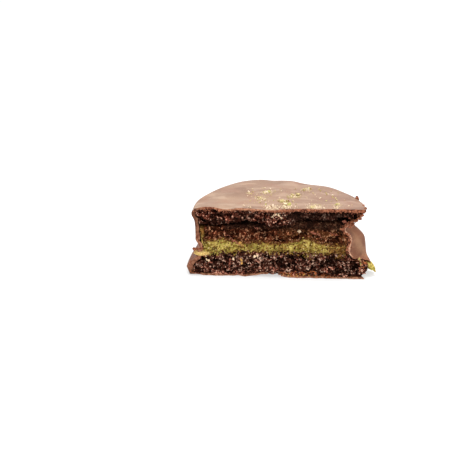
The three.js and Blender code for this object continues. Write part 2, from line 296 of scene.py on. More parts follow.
def layer_points(angle, wall, bottom, top, front, rows, shift=0.0):
    """Points of a layer, one loop of its section for each angle.

    The cut point of column a at height z is x = cos(a) W(z), with W the wall's radius at that end of the
    cut; the wall point is W(a, z) (cos a, sin a); between them runs a straight line.
    """
    face_n, over_n, wall_n, under_n = rows
    up, down = np.linspace(0, 1, face_n), np.linspace(1, 0, wall_n)
    w = np.concatenate([up, np.ones(over_n), down, np.zeros(under_n)])
    inner = np.linspace(0, 1, over_n + 2)[1:-1] ** 2
    back = np.linspace(1, 0, under_n + 2)[1:-1] ** 2
    t = np.concatenate([np.zeros(face_n), inner, np.ones(wall_n), back])
    a, w, t = angle[:, None], w[None, :], t[None, :]
    side = np.where(np.cos(a) > 0, 0.0, math.pi)
    x = np.cos(a) * RADIUS * np.ones_like(w)
    y = t * np.sin(a) * RADIUS
    for _ in range(4):  # height and radius depend on each other, and settle in a few rounds
        z = lerp(bottom(x, y), top(x, y), w)
        radius = wall(a * np.ones_like(z), z)
        x = lerp(np.cos(a) * wall(side * np.ones_like(z), z), np.cos(a) * radius, t) + shift
        y = t * np.sin(a) * radius
    y = held_back(y + front(x, z) * (1 - t) ** 5)
    return np.stack([x, y, z], -1)


# %% [markdown]
# ## Breaks
# The coat is brittle. It has snapped off along the right end of the rim and of the foot, cracked at the
# left where the cream pushed out, and chipped under the middle. Each break is a lump-shaped region; the
# same lumps, filled instead of emptied, are the cream that came out.

# %% Lump regions
def turn_matrix(turn):
    """Rotation matrix of Euler angles in the order X, Y, Z about the turned axes."""
    cx, cy, cz = np.cos(turn)
    sx, sy, sz = np.sin(turn)
    about_x = np.array([[1, 0, 0], [0, cx, -sx], [0, sx, cx]])
    about_y = np.array([[cy, 0, sy], [0, 1, 0], [-sy, 0, cy]])
    about_z = np.array([[cz, -sz, 0], [sz, cz, 0], [0, 0, 1]])
    return about_x @ about_y @ about_z


def ragged_unit(p, ragged, seed):
    """Radius of a roughened unit ball in the direction of p: 1 + ragged (noise(2p) + 0.35 rough(5p))."""
    broad = noise(p[..., 0] * 2 + seed * 9, p[..., 1] * 2, p[..., 2] * 2)
    return 1 + ragged * (broad + 0.35 * rough(p[..., 0] * 5 + seed, p[..., 1] * 5, p[..., 2] * 5))


def within(points, at, size, turn, ragged=0.15, seed=1.0):
    """How deep points lie in a lump: its ragged radius less |R^-1 (p - at)/size|, positive inside."""
    local = ((points - np.array(at)) @ turn_matrix(turn)) / np.array(size)
    far = np.linalg.norm(local, axis=-1)
    return ragged_unit(local / np.maximum(far, 1e-6)[..., None], ragged, seed) - far


RIM_BREAK = dict(at=(31, 0.5, 24), size=(11, 10.5, 2.2), turn=(0, 0, -0.15), ragged=0.12, seed=12)
FOOT_BREAK = dict(at=(32, -1, 4.1), size=(8, 9.5, 3.4), turn=(-0.4, 0.3, 0.1), ragged=0.12, seed=14)
LEFT_CRACK = dict(at=(-33, 0, 8.6), size=(4, 3, 1.2), turn=(0, 0.1, 0), ragged=0.2, seed=16)
FOOT_CHIP = dict(at=(-2, -1.4, 1.4), size=(2.7, 2.6, 1.8), turn=(0, 0, 0.1), ragged=0.2, seed=18)
CORNER_CHIP = dict(at=(33.8, -1, 0.2), size=(2.6, 5, 2.4), turn=(0, 0, 0.5), ragged=0.25, seed=20)

# %% [markdown]
# ## The milk-chocolate coat
# It is one skin, dipped and set: smooth on the outside, under a millimetre thick, thinner where it
# drained off the base. The sheet starts at the cut's upper edge, goes back over the top, down the rim
# and wall, and forward under the base to the cut again. Its front edge is uneven, as snapped chocolate
# is, and thicker at both ends of the cut. Cells inside a break are left out, and a broken edge joins outer
# and inner side there.

# %% Coat
def curl(x, y):
    """How far the base is off the table: where the foot is raised, and where its front edge is bent up."""
    lip = 0.35 * hump(-15.7, 1.3, x) + 0.4 * fall(-30.5, -28, x)
    return raised(x, y) + lip * fall(-0.3, 1.5, y)


def sheet_points(angle, depth):
    """The coat's outside (depth 0) or inside (depth 1): a grid of angle by distance from the upper edge."""
    over = np.linspace(0, 1, 64) ** 1.7
    down = np.concatenate([1 - 0.5 * np.linspace(0, 1, 30) ** 1.5, np.linspace(0.5, 0, 34)[1:]])
    under = np.linspace(1, 0, 27)[1:] ** 1.5
    t = np.concatenate([over[:-1], np.ones(len(down)), under])[None, :]
    w = np.concatenate([np.ones(len(over) - 1), down, np.zeros(len(under))])[None, :]
    a, deg = angle[:, None], np.degrees(angle)[:, None]
    side = np.where(np.cos(a) > 0, 0.0, math.pi) * np.ones_like(w)
    x, y = np.cos(a) * RADIUS * np.ones_like(w), t * np.sin(a) * RADIUS
    z = lerp(0, top_of(x, y), w)
    for _ in range(4):
        front_edge = 0.28 * rough(x / 0.9, z / 2, 6.5) + 0.45 * rise(19, 26, x) * rise(22, 25, z)
        left_end = 0.35 + 2.0 * fall(6, 11, z) + 0.6 * hump(23, 3, z) + 0.45 * rough(z / 0.9, x / 0.9, 2.5)
        right_end = 0.8 * fall(0, 5, deg) * hump(15, 6, z)
        uneven = 1 + front_edge * (1 - t) ** 40 + left_end * rise(172, 178, deg) + right_end
        thick = depth * skin(a * np.ones_like(z), z) * uneven
        radius = outside(a * np.ones_like(z), z) - thick - hang(a, z)
        z = lerp(thick, top_of(x, y) - thick, w)
        radius_0 = outside(side, z) - thick - hang(side, z)
        x = lerp(np.cos(a) * radius_0, np.cos(a) * radius, t)
        y = t * np.sin(a) * radius
    y = y - rise(176, 179.6, deg) * (0.3 + 0.4 * fall(7, 12, z))
    edge = -0.5 * hump(2, 22, x) - 0.6 * fall(0, 9, z) + 0.25 * noise(x / 2.2, z / 3, 17)
    edge = edge + (0.1 + 0.1 * depth) * rough(x / 0.6, z / 0.6, 4.5)
    z = z + curl(x, y) * (z < 3)
    return np.stack([x, np.maximum(y + edge * (1 - t) ** 5, FRONT_LIMIT), z], -1)


def thick_sheet(name, outer, inner, keep):
    """Outer and inner cells where keep is true, joined by a quad along every edge with no kept neighbour."""
    columns, rows = outer.shape[:2]
    count = columns * rows
    number = np.arange(count).reshape(columns, rows)
    quad = np.stack([number[:-1, :-1], number[1:, :-1], number[1:, 1:], number[:-1, 1:]], -1)
    out = quad[keep]
    faces = [out, out[:, ::-1] + count]
    padded = np.pad(keep, 1)
    sides = [((0, 3), (-1, 0)), ((1, 0), (0, -1)), ((2, 1), (1, 0)), ((3, 2), (0, 1))]
    edge_count = 0
    for (p, q), (di, dj) in sides:
        beyond = padded[1 + di : 1 + di + keep.shape[0], 1 + dj : 1 + dj + keep.shape[1]]
        ends = quad[keep & ~beyond]
        strip = np.stack([ends[:, p], ends[:, q], ends[:, q] + count, ends[:, p] + count], -1)
        faces.append(strip)
        edge_count += len(strip)
    points = np.concatenate([outer.reshape(-1, 3), inner.reshape(-1, 3)])
    faces = np.concatenate(faces)
    used = np.unique(faces)
    place = np.full(len(points), -1)
    place[used] = np.arange(len(used))
    obj = piece(name, points[used], place[faces].tolist())
    return obj, points[used], edge_count


coat_angles = spread(0.32, 0.36)
coat_outer = sheet_points(coat_angles, 0.0)
coat_inner = sheet_points(coat_angles, 1.0)
cell = (coat_outer[:-1, :-1] + coat_outer[1:, 1:] + coat_inner[:-1, :-1] + coat_inner[1:, 1:]) / 4
keep = np.ones(cell.shape[:2], bool)
for missing in (RIM_BREAK, FOOT_BREAK, LEFT_CRACK, FOOT_CHIP, CORNER_CHIP):
    keep &= within(cell, **missing) < 0
print("cells of the coat left out at breaks:", int((~keep).sum()))
coat, coat_points, edge_faces = thick_sheet("coat", coat_outer, coat_inner, keep)
coat.data.set_sharp_from_angle(angle=math.radians(48))

# %% [markdown]
# ## Torn crumb
# A biscuit that is pressed apart by a blunt knife doesn't slice, it tears: clumps of some millimetres
# stand out or stay behind, and between the grains are pits. The clumps are broad noise, the grains are
# packed balls of two sizes, and the pits are where a third noise runs high. The face keeps a number for
# its height and one for the tone of the grain at each point, and the finish turns both into colour: low
# height into painted shade in the pits, and high tone and height into pale tips, partly painted highlight.

# %% Crumb relief
def crag(x, z, seed):
    """Torn clumps of about 5 mm with clumps of about 2.5 mm on them, in mm."""
    return 0.75 * (noise(x / 3.1, z / 2.3, seed) + 0.6 * noise(x / 1.5, z / 1.3, seed + 7.5))


def torn(x, z):
    """1 in the hollows that tearing left, some 5 mm long and 2 mm high, and 0 on the ridges between them."""
    return rise(-0.08, 0.4, noise(x / 2.7, z / 1.4, 141) + 0.45 * noise(x / 1.3, z / 0.7, 142))


def grit(x, z, seed):
    """Height in mm and tone: clumps of 2.2, crumbs of 1.1 and grains of 0.55 mm, less pits 0.9 mm deep."""
    wx = x + 0.5 * noise(x / 1.4, z / 1.4, seed + 5) + 0.2 * noise(x / 0.5, z / 0.5, seed + 6)
    wz = z + 0.4 * noise(x / 1.4, z / 1.4, seed + 8) + 0.2 * noise(x / 0.5, z / 0.5, seed + 9)
    clump, _ = lumps(wx, wz * 1.3, 2.2, seed + 20, 0.6)
    crumb, crumb_tone = lumps(wx, wz * 1.1, 1.1, seed + 30, 0.5)
    fine, fine_tone = lumps(wx, wz, 0.55, seed + 40, 0.7)
    pit = rise(0.15, 0.55, noise(wx / 1.5, wz / 0.8, seed + 50) + 0.4 * noise(wx / 0.7, wz / 0.5, seed + 51))
    height = 0.4 * clump + 0.6 * crumb + 0.22 * fine - 0.9 * pit - 0.7 * torn(x, z) - 0.35
    return height, 0.65 * crumb_tone + 0.35 * fine_tone - 0.2 * torn(x, z) + 0.1


# %% [markdown]
# ## The cocoa biscuits
# The upper one stands forward in clumps at the left and in the middle and is torn away further right, so
# the layer under it lies in a deep shadow there, and a crevice runs through it. The lower one stands
# slightly forward at its foot, and has crumbled away at the right end. The middle one soaked up fat from
# the cream and is set back. Each has a face y(x, z) and a wall radius(angle, z), and their loops follow.

# %% Biscuit faces
CREVICE = [  # x and height along its path
    (-28, 24.3), (-24, 22.4), (-21.5, 20.9), (-18.7, 20.0), (-16.5, 19.9), (-14.7, 20.9), (-12.8, 21.3),
    (-10.7, 20.9), (-7, 19.6), (-4, 19.3)]


def crevice(x, z):
    """The crack that runs down through the upper biscuit from the left: exp(-((z - path)/0.75)^2)."""
    return hump(along(CREVICE, x), 0.75, z) * rise(-28, -20, x) * fall(-6, -4, x)


def lower_bottom(x, y):
    """On the coat's base, and lower by its thickness where the base is chipped."""
    return 0.75 + raised(x, y) - 0.68 * rise(-5, -4.4, x) * fall(0.2, 1.2, x) * fall(0.5, 2, y)


def lower_front(x, z):
    """y of the lower biscuit's cut face: forward at the foot, back right under the cream."""
    under_cream = 0.7 * rise(-1.2, -0.2, z - lower_top(x, 0))
    return 0.45 - 1.1 * fall(0, 9, z) + crag(x, z, 61) - grit(x, z, 61)[0] + under_cream


def middle_front(x, z):
    """y of the middle biscuit's cut face: 2 mm further back at its top."""
    back = 2.0 * rise(15, 19.2, z) * rise(-21, -14, x)
    return 1.0 + back + 0.8 * crag(x, z, 71) - 0.8 * grit(x, z, 71)[0]


def upper_front(x, z):
    """y of the upper biscuit's cut face: torn away at the right, a clump in the middle, the crevice."""
    torn = (2.0 + 1.6 * fall(20.8, 23.6, z)) * rise(2, 8, x) * fall(25, 30, x)
    clump = 1.2 * hump(-2, 4.5, x) * hump(22, 2.2, z)
    return 0.8 + torn - clump + 1.1 * crevice(x, z) + 0.8 * crag(x, z, 81) - grit(x, z, 81)[0]


def lower_wall(angle, z):
    """Inside the coat, and rough and drawn in where the coat has broken off the right end of the foot."""
    bare = fall(10, 20, np.degrees(angle)) * fall(7, 8.6, z)
    grains, _ = grit(angle * RADIUS, z, 65)
    crumbled = 0.6 + 0.9 * noise(angle * 9, z / 1.6, 66) + 1.6 * fall(0.5, 3, z)
    left_foot = (0.6 + 0.8 * fall(6, 9, z)) * rise(170, 178, np.degrees(angle))
    under_shard = hang(angle, z) * rise(6, 7, z)
    return outside(angle, z) - LOWER_IN - left_foot - under_shard - bare * (crumbled - 0.5 * grains)


def middle_wall(angle, z):
    """Round the middle biscuit's own axis, MIDDLE_SHIFT to the right, and inside the coat."""
    return np.minimum(MIDDLE_RADIUS, outside(angle, z) - MIDDLE_IN - MIDDLE_SHIFT * np.cos(angle))


def upper_wall(angle, z):
    """Inside the coat as it was before the knife's push, and rough where the rim has broken off."""
    bare = fall(12, 20, np.degrees(angle)) * fall(25.2, 26.6, z)
    grains, _ = grit(angle * RADIUS, z, 85)
    left_end = 0.5 * rise(170, 178, np.degrees(angle))
    return outside(angle, z, 0.0) - UPPER_IN - left_end - bare * (0.2 - 0.4 * grains)


def middle_bottom(x, y):
    return cream_top(x, y) + 0.1


def upper_top(x, y):
    return top_of(x, y) - 0.82


filling_angles = spread(0.15, 0.4)
lower_points = layer_points(
    filling_angles, lower_wall, lower_bottom, lower_top, lower_front, (64, 12, 26, 8))
middle_points = layer_points(
    filling_angles, middle_wall, middle_bottom, middle_top, middle_front, (52, 12, 16, 8), MIDDLE_SHIFT)
upper_points = layer_points(
    filling_angles, upper_wall, upper_bottom, upper_top, upper_front, (52, 8, 24, 14))
print("points of each biscuit:", [p[..., 0].size for p in (lower_points, middle_points, upper_points)])

# %% [markdown]
# Four more numbers follow the place on the cut, for grains and faces alike: how red the crumb is, where
# chocolate was rubbed into it, how olive, where fat and pistachio soaked in from the cream, how much
# painted shade lies in the crevice, the slit over the middle biscuit and the torn hollow at the right,
# and how much darker the crumb is painted: shade in the torn hollows, behind the foot's lip and under the
# coat at the upper right, and darker stretches at a few places given.

# %% Tints of the crumb
def redness(x, z):
    """How much chocolate was rubbed in, 0 to 1: the middle clump, the rim's ends, streaks, the foot."""
    clump = hump(-2, 4, x) * hump(21.8, 1.8, z)
    right_rim = rise(25, 28, x) * rise(21, 22, z)
    flakes = fall(-20, -12, x) * rise(21.5, 23, z) * 0.7
    streaks = rise(0.25, 0.6, noise(x / 2.2, z / 0.8, 131)) * 0.8
    foot = fall(0.9, 2.2, z)
    return np.clip(clump + right_rim + flakes + streaks + foot, 0, 1)


def oliveness(x, z):
    """How much fat and pistachio soaked in, 0 to 1: just over the cream, and in the middle biscuit."""
    over_cream = fall(0.2, 1.8, z - cream_top(x, 0)) * rise(-0.5, 0, z - lower_top(x, 0))
    soaked = rise(-3, 4, x) * fall(24, 30, x) * rise(14.5, 16, z) * fall(18.5, 20.5, z) * 0.6
    return np.clip(over_cream + soaked, 0, 1)


def sunken(x, z):
    """Painted shade, 0 to 1: in the torn hollow, the slit over the middle biscuit and the crevice."""
    hollow = 0.8 * rise(1.5, 4, x) * fall(24.5, 28, x) * rise(17.4, 19.2, z) * fall(24, 26.4, z)
    under = rise(16.9, 18.9, z) * fall(19.6, 20.8, z) * rise(-23, -19, x)
    return np.clip(np.maximum(np.maximum(hollow, under), crevice(x, z)), 0, 1)


def shade(x, z):
    """How much darker the crumb is painted, 0 to 1: painted shade in the torn hollows, behind the foot's
    lip and under the coat at the upper right, and darker stretches at the other places given.
    """
    # Painted shade in the torn hollows that the relief also carves, less of it in the middle biscuit.
    bands = 0.8 * torn(x, z) * (1 - 0.6 * rise(13, 14, z) * fall(18.5, 19.5, z))
    # Darker stretches of crumb at given places, as also upper_middle below.
    middle_left = 0.2 * fall(-2, 2, x) * rise(13, 15, z) * fall(19, 20, z)
    lower_band = 0.25 * hump(11, 10, x) * hump(6, 2.4, z)
    lower_left = 0.7 * hump(-30, 2, x) * hump(5.6, 1.4, z)
    # Painted shadow under the foot's raised lip.
    behind_lip = 0.8 * hump(-5, 4, x) * fall(1.4, 2, z)
    # Painted shade under the coat's edge over the torn-back upper right.
    upper_right = 0.55 * rise(2, 5, x) * hump(24.3, 1.1, z)
    upper_middle = 0.6 * hump(-7.5, 2.6, x) * hump(24, 1.6, z) + 0.35 * hump(1, 3, x) * hump(21, 1.2, z)
    upper_middle = upper_middle + 0.4 * hump(-13.5, 3.2, x) * hump(23.6, 2, z)
    places = upper_middle + middle_left + lower_band + lower_left + behind_lip + upper_right
    return np.clip(bands * (1 - 0.4 * places) + places, 0, 1)


def calmer(tone, x, z):
    """The tone, drawn to 0.53 where the crumb is more even: the upper biscuit's left and the middle one."""
    upper_left = fall(-12, -6, x) * rise(19.5, 20.5, z)
    soaked_layer = rise(12.5, 14, z) * fall(18.5, 19.5, z)
    return lerp(tone, 0.53, 0.6 * upper_left + 0.3 * soaked_layer)


def biscuit(name, points, seed):
    """The mesh of a biscuit, with its relief, tone and tints stored on its points."""
    obj = piece(name, points.reshape(-1, 3), loop_faces(*points.shape[:2]))
    x, _, z = np.moveaxis(points, -1, 0)
    height, tone = grit(x, z, seed)
    tone = calmer(tone, x, z)
    paint(
        obj, relief=height, tone=tone, red=redness(x, z), olive=oliveness(x, z), sunken=sunken(x, z),
        shade=shade(x, z))
    return obj


lower = biscuit("lower_crumb", lower_points, 61)
middle = biscuit("middle_crumb", middle_points, 71)
upper = biscuit("upper_crumb", upper_points, 81)

# %% [markdown]
# ## The pistachio cream
# A thick paste of ground pistachio: knife and pressure drew it into short teeth that hang over the lower
# biscuit, and it climbed beside the middle biscuit at the left. Its face is soft lumps of half a
# millimetre, and where it overlaps the crumb above and below it lies just in front of it.

# %% Cream
TEETH = [  # x, how far it hangs, half its width
    (-23, 1.3, 0.5), (-16.8, 2.0, 0.6), (-10.9, 1.4, 0.5), (-3.8, 1.8, 0.4), (5, 1.1, 0.5), (10.5, 2.8, 0.8),
    (16, 1.2, 0.4), (23.3, 2.0, 0.6)]


def cream_relief(x, z, seed=91):
    """Height in mm and tone of the paste: strands 1 - |noise| drawn out along the cut, with soft balls."""
    wx = x + 0.7 * noise(x / 1.6, z / 1.3, seed + 3)
    wz = z + 0.8 * noise(x / 1.9, z / 1.1, seed + 6) - 0.25 * x
    strand = 1 - 2.2 * np.abs(noise(wx / 2.2, wz / 0.75, seed + 12))
    soft, soft_tone = lumps(wx, wz * 0.9, 1.0, seed, 0.55)
    fine, fine_tone = lumps(wx, wz, 0.5, seed + 9)
    height = 0.3 * strand + 0.35 * soft + 0.15 * fine - 0.4
    tone = 0.4 * np.clip(strand, 0, 1) + 0.35 * soft_tone + 0.25 * fine_tone
    return height, tone


def teeth(x):
    """How far the cream hangs below the biscuit's top, in mm: a sag, small hashed teeth and long ones."""
    slot = np.floor(x / 1.4)
    middle_x = (slot + 0.5 + 0.3 * corner(slot, 3, 8)) * 1.4
    small = np.clip(0.45 + 0.9 * corner(slot, 5, 2), 0, 1.5) * hump(middle_x, 0.3, x)
    sag = 0.8 * hump(-23, 8, x) + 0.4 * hump(11, 6, x)
    long_ones = sum(long * hump(at, wide, x) for at, long, wide in TEETH)
    return sag + small + long_ones + 0.15 * noise(x / 0.5, 0, 33)


def cream_front(x, z):
    """The cream's own face, brought forward of the crumb where it overlaps it."""
    own = 0.85 + 0.45 * crag(x, z, 91) - cream_relief(x, z)[0]
    below = z < lower_top(x, 0) + 0.2
    above = z > cream_top(x, 0) - 0.2
    over_lower = np.minimum(own, lower_front(x, z) - 0.15 + 0.2 * noise(x / 0.6, z / 0.6, 34))
    over_middle = np.minimum(own, middle_front(x, z) - 0.05 + 0.25 * noise(x / 0.6, z / 0.6, 35))
    return np.where(below, over_lower, np.where(above & (x > -26), over_middle, own))


def cream_wall(angle, z):
    """Inside the coat, and further in where the shard's foot hangs in front of the layer."""
    deg = np.degrees(angle)
    behind_shard = hang(angle, z) + 4.5 * fall(7.6, 9.4, z) * fall(2, 14, deg)
    return outside(angle, z) - CREAM_IN - behind_shard - 0.4 * rise(170, 178, deg)


def cream_bottom(x, y):
    return lower_top(x, y) + 0.05 - teeth(x) * fall(0, 0.8, y)


def cream_upper(x, y):
    """Up to the middle biscuit, with a fringe over its foot, and past it at the left and in the ring."""
    outer = rise(MIDDLE_RADIUS - 0.6, MIDDLE_RADIUS + 0.3, np.hypot(x - MIDDLE_SHIFT, y))
    fringe = 0.35 + 0.7 * rough(x / 1.3, 0, 36) + 0.5 * hump(-26, 4, x) - 0.4 * rise(16, 24, x)
    return lerp(cream_top(x, y) + fringe * fall(0, 1, y), CREAM_RING_TOP + 0 * x, outer)


cream_points = layer_points(
    filling_angles, cream_wall, cream_bottom, cream_upper, cream_front, (52, 20, 14, 16))


def freshness(x, z):
    """1 where the paste is clean and bright, as in its thick parts, and 0 where crumb is rubbed into it."""
    depth = (z - lower_top(x, 0)) / (cream_top(x, 0) - lower_top(x, 0))
    thick = 0.5 + 0.65 * hump(-23, 9, x) + 0.15 * hump(9, 6, x) - 0.5 * rise(14, 22, x)
    edges = rise(-0.7, 0.25, depth) * fall(0.75, 1.25, depth)
    beside = fall(-29, -27.5, x) * rise(11, 13, z)
    patches = 0.3 * noise(x / 1.6, z / 0.9, 37)
    return np.clip(lerp(thick * edges, 0.25 * fall(12, 18.5, z), beside) + patches, 0, 1)


cream = piece("cream", cream_points.reshape(-1, 3), loop_faces(*cream_points.shape[:2]))
cream_x, _, cream_z = np.moveaxis(cream_points, -1, 0)
relief, tone = cream_relief(cream_x, cream_z)
paint(cream, relief=relief, tone=tone, fresh=freshness(cream_x, cream_z))

# %% [markdown]
# Lumps of cream that came out of the layer: one hangs over the broken foot at the right, joined to the
# layer by a neck, and a flat tongue lies in the crack at the left. They are balls, stretched, roughened
# and turned, with finer lumps of paste on them.

# %% Cream that came out
def ball(detail):
    """Points and faces of a unit ball made of nearly equal triangles."""
    work = bmesh.new()
    bmesh.ops.create_icosphere(work, subdivisions=detail, radius=1)
    points = np.array([v.co[:] for v in work.verts])
    faces = np.array([[v.index for v in f.verts] for f in work.faces])
    work.free()
    return points, faces


def lump_points(at, size, turn, ragged=0.15, seed=1.0, detail=5):
    """Points R (size * ragged ball) + at, and the ball's faces."""
    points, faces = ball(detail)
    swollen = points * ragged_unit(points, ragged, seed)[:, None] * np.array(size)
    return swollen @ turn_matrix(turn).T + np.array(at), faces


def joined(parts):
    """One list of points and one of faces from many, each part's faces counted on from the last one's."""
    points, faces, count = [], [], 0
    for p, f in parts:
        points.append(p)
        faces.append(f + count)
        count += len(p)
    return np.concatenate(points), np.concatenate(faces)


def leak_points(at, size, turn, ragged, seed):
    """A lump a little under full size, its surface moved out from its middle by half the paste's relief."""
    points, faces = lump_points(at, np.array(size) * 0.93, turn, ragged, seed)
    out = points - np.array(at)
    height, tone = cream_relief(points[:, 0] + points[:, 1], points[:, 2], 95)
    points = points + out / np.linalg.norm(out, axis=1, keepdims=True) * (0.5 * height)[:, None]
    return points, faces, height, tone


right_leak = leak_points((33.6, 4.4, 3.6), (1.2, 3.2, 3), (0, -0.76, 0.1), 0.2, 4)
neck = leak_points((31.2, 4.8, 4.9), (2.9, 1.9, 0.8), (0, 0.55, 0.1), 0.15, 5)
tongue = leak_points((-29.1, 0.9, 8.5), (3.3, 2.2, 0.9), (0, 0.05, 0), 0.15, 6)
all_points, all_faces = joined([part[:2] for part in (right_leak, neck, tongue)])
leak = piece("cream_leaks", all_points, all_faces.tolist())
heights = np.concatenate([right_leak[2], neck[2], np.full(len(tongue[2]), 0.4)])
tones = np.concatenate([right_leak[3], neck[3], 0.7 + 0.3 * tongue[3]])
golden = np.concatenate([np.zeros(len(right_leak[2]) + len(neck[2])), np.ones(len(tongue[2]))])
# The tongue is painted gold, partly the light on its lit side, and the lump at the right and its neck are
# painted fresher than the layer, partly as a painted highlight.
paint(leak, relief=heights, tone=tones, fresh=0.75 + 0.25 * golden, golden=golden)

# %% [markdown]
# ## Loose grains
# Crumbs stick to the cut and ground pistachio is mixed into the paste. A grain is a ball of twenty faces,
# squeezed and turned at random, thousands of each kind in one mesh. Grains that lie in a pit get a darker
# tone, which is painted shade, and their tone drifts along the face, so that they read as crumb and not
# as gravel.

# %% Grains
def turned(shape, stretch, places, random):
    """The shape, stretched and turned at random for each place; a random unit quaternion gives the turn."""
    q = random.normal(size=(len(places), 4))
    w, x, y, z = (q / np.linalg.norm(q, axis=1, keepdims=True)).T
    turn = np.stack([
        np.stack([1 - 2 * (y * y + z * z), 2 * (x * y - w * z), 2 * (x * z + w * y)], -1),
        np.stack([2 * (x * y + w * z), 1 - 2 * (x * x + z * z), 2 * (y * z - w * x)], -1),
        np.stack([2 * (x * z - w * y), 2 * (y * z + w * x), 1 - 2 * (x * x + y * y)], -1),
    ], 1)
    uneven = 1 + 0.3 * random.uniform(-1, 1, (len(places), len(shape), 1))
    return np.einsum("nij,nvj->nvi", turn, shape[None] * uneven * stretch[:, None, :]) + places[:, None, :]


def scatter(name, places, sizes, seed, detail=1, **values):
    """One squeezed and turned ball at each place; sizes are half-lengths in mm; values are painted on it."""
    random = np.random.default_rng(seed)
    shape, faces = ball(detail)
    count = len(places)
    stretch = sizes[:, None] * random.uniform((1, 0.75, 0.55), (1.7, 1.1, 0.9), (count, 3))
    grains = turned(shape, stretch, places, random)
    grains[..., 1] += np.maximum(FRONT_LIMIT - grains[..., 1].min(axis=1), 0)[:, None]
    grains[..., 2] += np.maximum(-grains[..., 2].min(axis=1), 0)[:, None]
    all_faces = faces[None] + (np.arange(count) * len(shape))[:, None, None]
    obj = piece(name, grains.reshape(-1, 3), all_faces.reshape(-1, 3).tolist(), smooth=False)
    paint(obj, **{key: np.repeat(value, len(shape)) for key, value in values.items()})
    return obj


GRAIN_SIZES = (0.1, 0.42)  # half-lengths


def crumb_grains(name, front, wall, low, high, count, seed, shift=0.0):
    """Grains over a cut face between two heights and its two ends, most of them small, sunk in a third."""
    random = np.random.default_rng(seed)
    x = random.uniform(-RADIUS, RADIUS, count)
    z = lerp(low(x, 0 * x), high(x, 0 * x), random.random(count))
    ends = wall(np.where(x > shift, 0.0, math.pi), z) - 0.15
    x, z = (v[np.abs(x - shift) < ends] for v in (x, z))
    count = len(x)
    size = lerp(*GRAIN_SIZES, random.random(count) ** 1.9)
    height, _ = grit(x, z, seed)
    # Painted shade: a grain lower on the relief gets a darker tone.
    tone = 0.34 + 0.3 * height + 0.3 * noise(x / 1.1, z / 0.8, seed + 3) + random.normal(0, 0.16, count)
    tone = calmer(np.clip(np.where(random.random(count) < 0.06, 1, tone), 0, 1), x, z)
    places = np.stack([x, front(x, z) - 0.3 * size, z], -1)
    return scatter(
        name, places, size, seed, relief=height, tone=tone, red=redness(x, z), olive=oliveness(x, z),
        sunken=sunken(x, z), shade=0.8 * shade(x, z))


lower_grains = crumb_grains(
    "lower_grains", lower_front, lower_wall,
    lambda x, y: lower_bottom(x, y) + 0.2, lambda x, y: lower_top(x, y) + 0.1, 4200, 61)
middle_grains = crumb_grains(
    "middle_grains", middle_front, middle_wall,
    lambda x, y: cream_top(x, y) + 0.3, middle_top, 3800, 71, MIDDLE_SHIFT)
upper_grains = crumb_grains(
    "upper_grains", upper_front, upper_wall,
    upper_bottom, lambda x, y: top_of(x, y) - 0.7, 4000, 81)

# %% [markdown]
# Pistachio bits in the paste, and brown crumb that the knife dragged through it, densest at its edges.

# %% Bits in the cream
def paste_bits(name, count, seed):
    """Bits over the cream's face from a little below its lower edge to above its upper one, mostly small."""
    random = np.random.default_rng(seed)
    x = random.uniform(-32, 30, count)
    reach = lerp(-0.35, 1.3, random.random(count))
    z = lerp(lower_top(x, 0), cream_top(x, 0), reach)
    beside_biscuit = (x < -28.2) & (random.random(count) < 0.8)
    z = np.where(beside_biscuit, random.uniform(9, 18, count), z)
    held = np.abs(x) < cream_wall(np.where(x > 0, 0.0, math.pi), z) - 0.15
    x, z, reach = x[held], z[held], reach[held]
    y = np.minimum(cream_front(x, z), np.where(reach < 0, lower_front(x, z), 9)) - 0.05
    size = lerp(0.08, 0.36, random.random(len(x)) ** 2.2)
    tone = np.clip(0.1 + 0.45 * freshness(x, z) + random.normal(0, 0.3, len(x)), 0, 1)
    return scatter(name, np.stack([x, y, z], -1), size, seed + 1, tone=tone)


cream_bits = paste_bits("pistachio_bits", 1700, 19)

# %% [markdown]
# ## Marks that stand out on the cut
# A few crumbs catch the eye: a pale arch of crumb under the top, a reddish streak down the lower biscuit,
# golden and pale bits of nut, and patches where the crumb is redder. Each mark is a short line of grains
# with its own kind, size and number, and each patch a rectangle strewn with them.

# %% Marks
PALE, PINK, RUST, GOLD, GREEN = 0.1, 0.3, 0.5, 0.7, 0.9
MARKS = [  # from x, z to x, z; bend; half-size; number; kind
    (-3.6, 23.4, 0.2, 23.3, 1.3, 0.23, 26, PALE),
    (-3.9, 23.9, -5.4, 22.8, 0.0, 0.28, 7, PINK),
    (6.4, 17.1, 6.9, 17.4, 0.0, 0.42, 3, PALE),
    (10.4, 17.3, 14.6, 16.1, 0.3, 0.26, 18, PINK),
    (17.8, 17.2, 20.8, 16.4, 0.0, 0.22, 9, PINK),
    (-9.9, 18.3, -8.8, 17.9, 0.0, 0.22, 5, PINK),
    (-21.2, 17.6, -14.3, 11.4, -0.5, 0.24, 26, PINK),
    (-15.4, 12.9, -13.6, 11.8, 0.2, 0.38, 9, GOLD),
    (-27.4, 6.5, -26.4, 5.8, 0.0, 0.45, 4, PALE),
    (-18.6, 6.7, -19.0, 2.3, 0.3, 0.27, 16, PINK),
    (-14.4, 7.2, -14.4, 5.1, 0.0, 0.36, 6, GOLD),
    (-17.5, 7.1, -17.1, 6.7, 0.0, 0.3, 2, PALE),
    (-9.8, 8.3, -8.6, 8.1, 0.0, 0.3, 5, PALE),
    (-3.6, 3.9, -2.8, 3.6, 0.0, 0.34, 3, PINK),
    (28.9, 7.9, 30.1, 4.6, 0.2, 0.3, 14, GREEN),
    (22.6, 21.4, 24.6, 20.0, 0.4, 0.34, 12, PINK),
    (-25.6, 2.6, -24.2, 2.2, 0.0, 0.24, 5, PINK),
    (14.0, 5.4, 15.4, 4.8, 0.0, 0.24, 4, PINK),
]
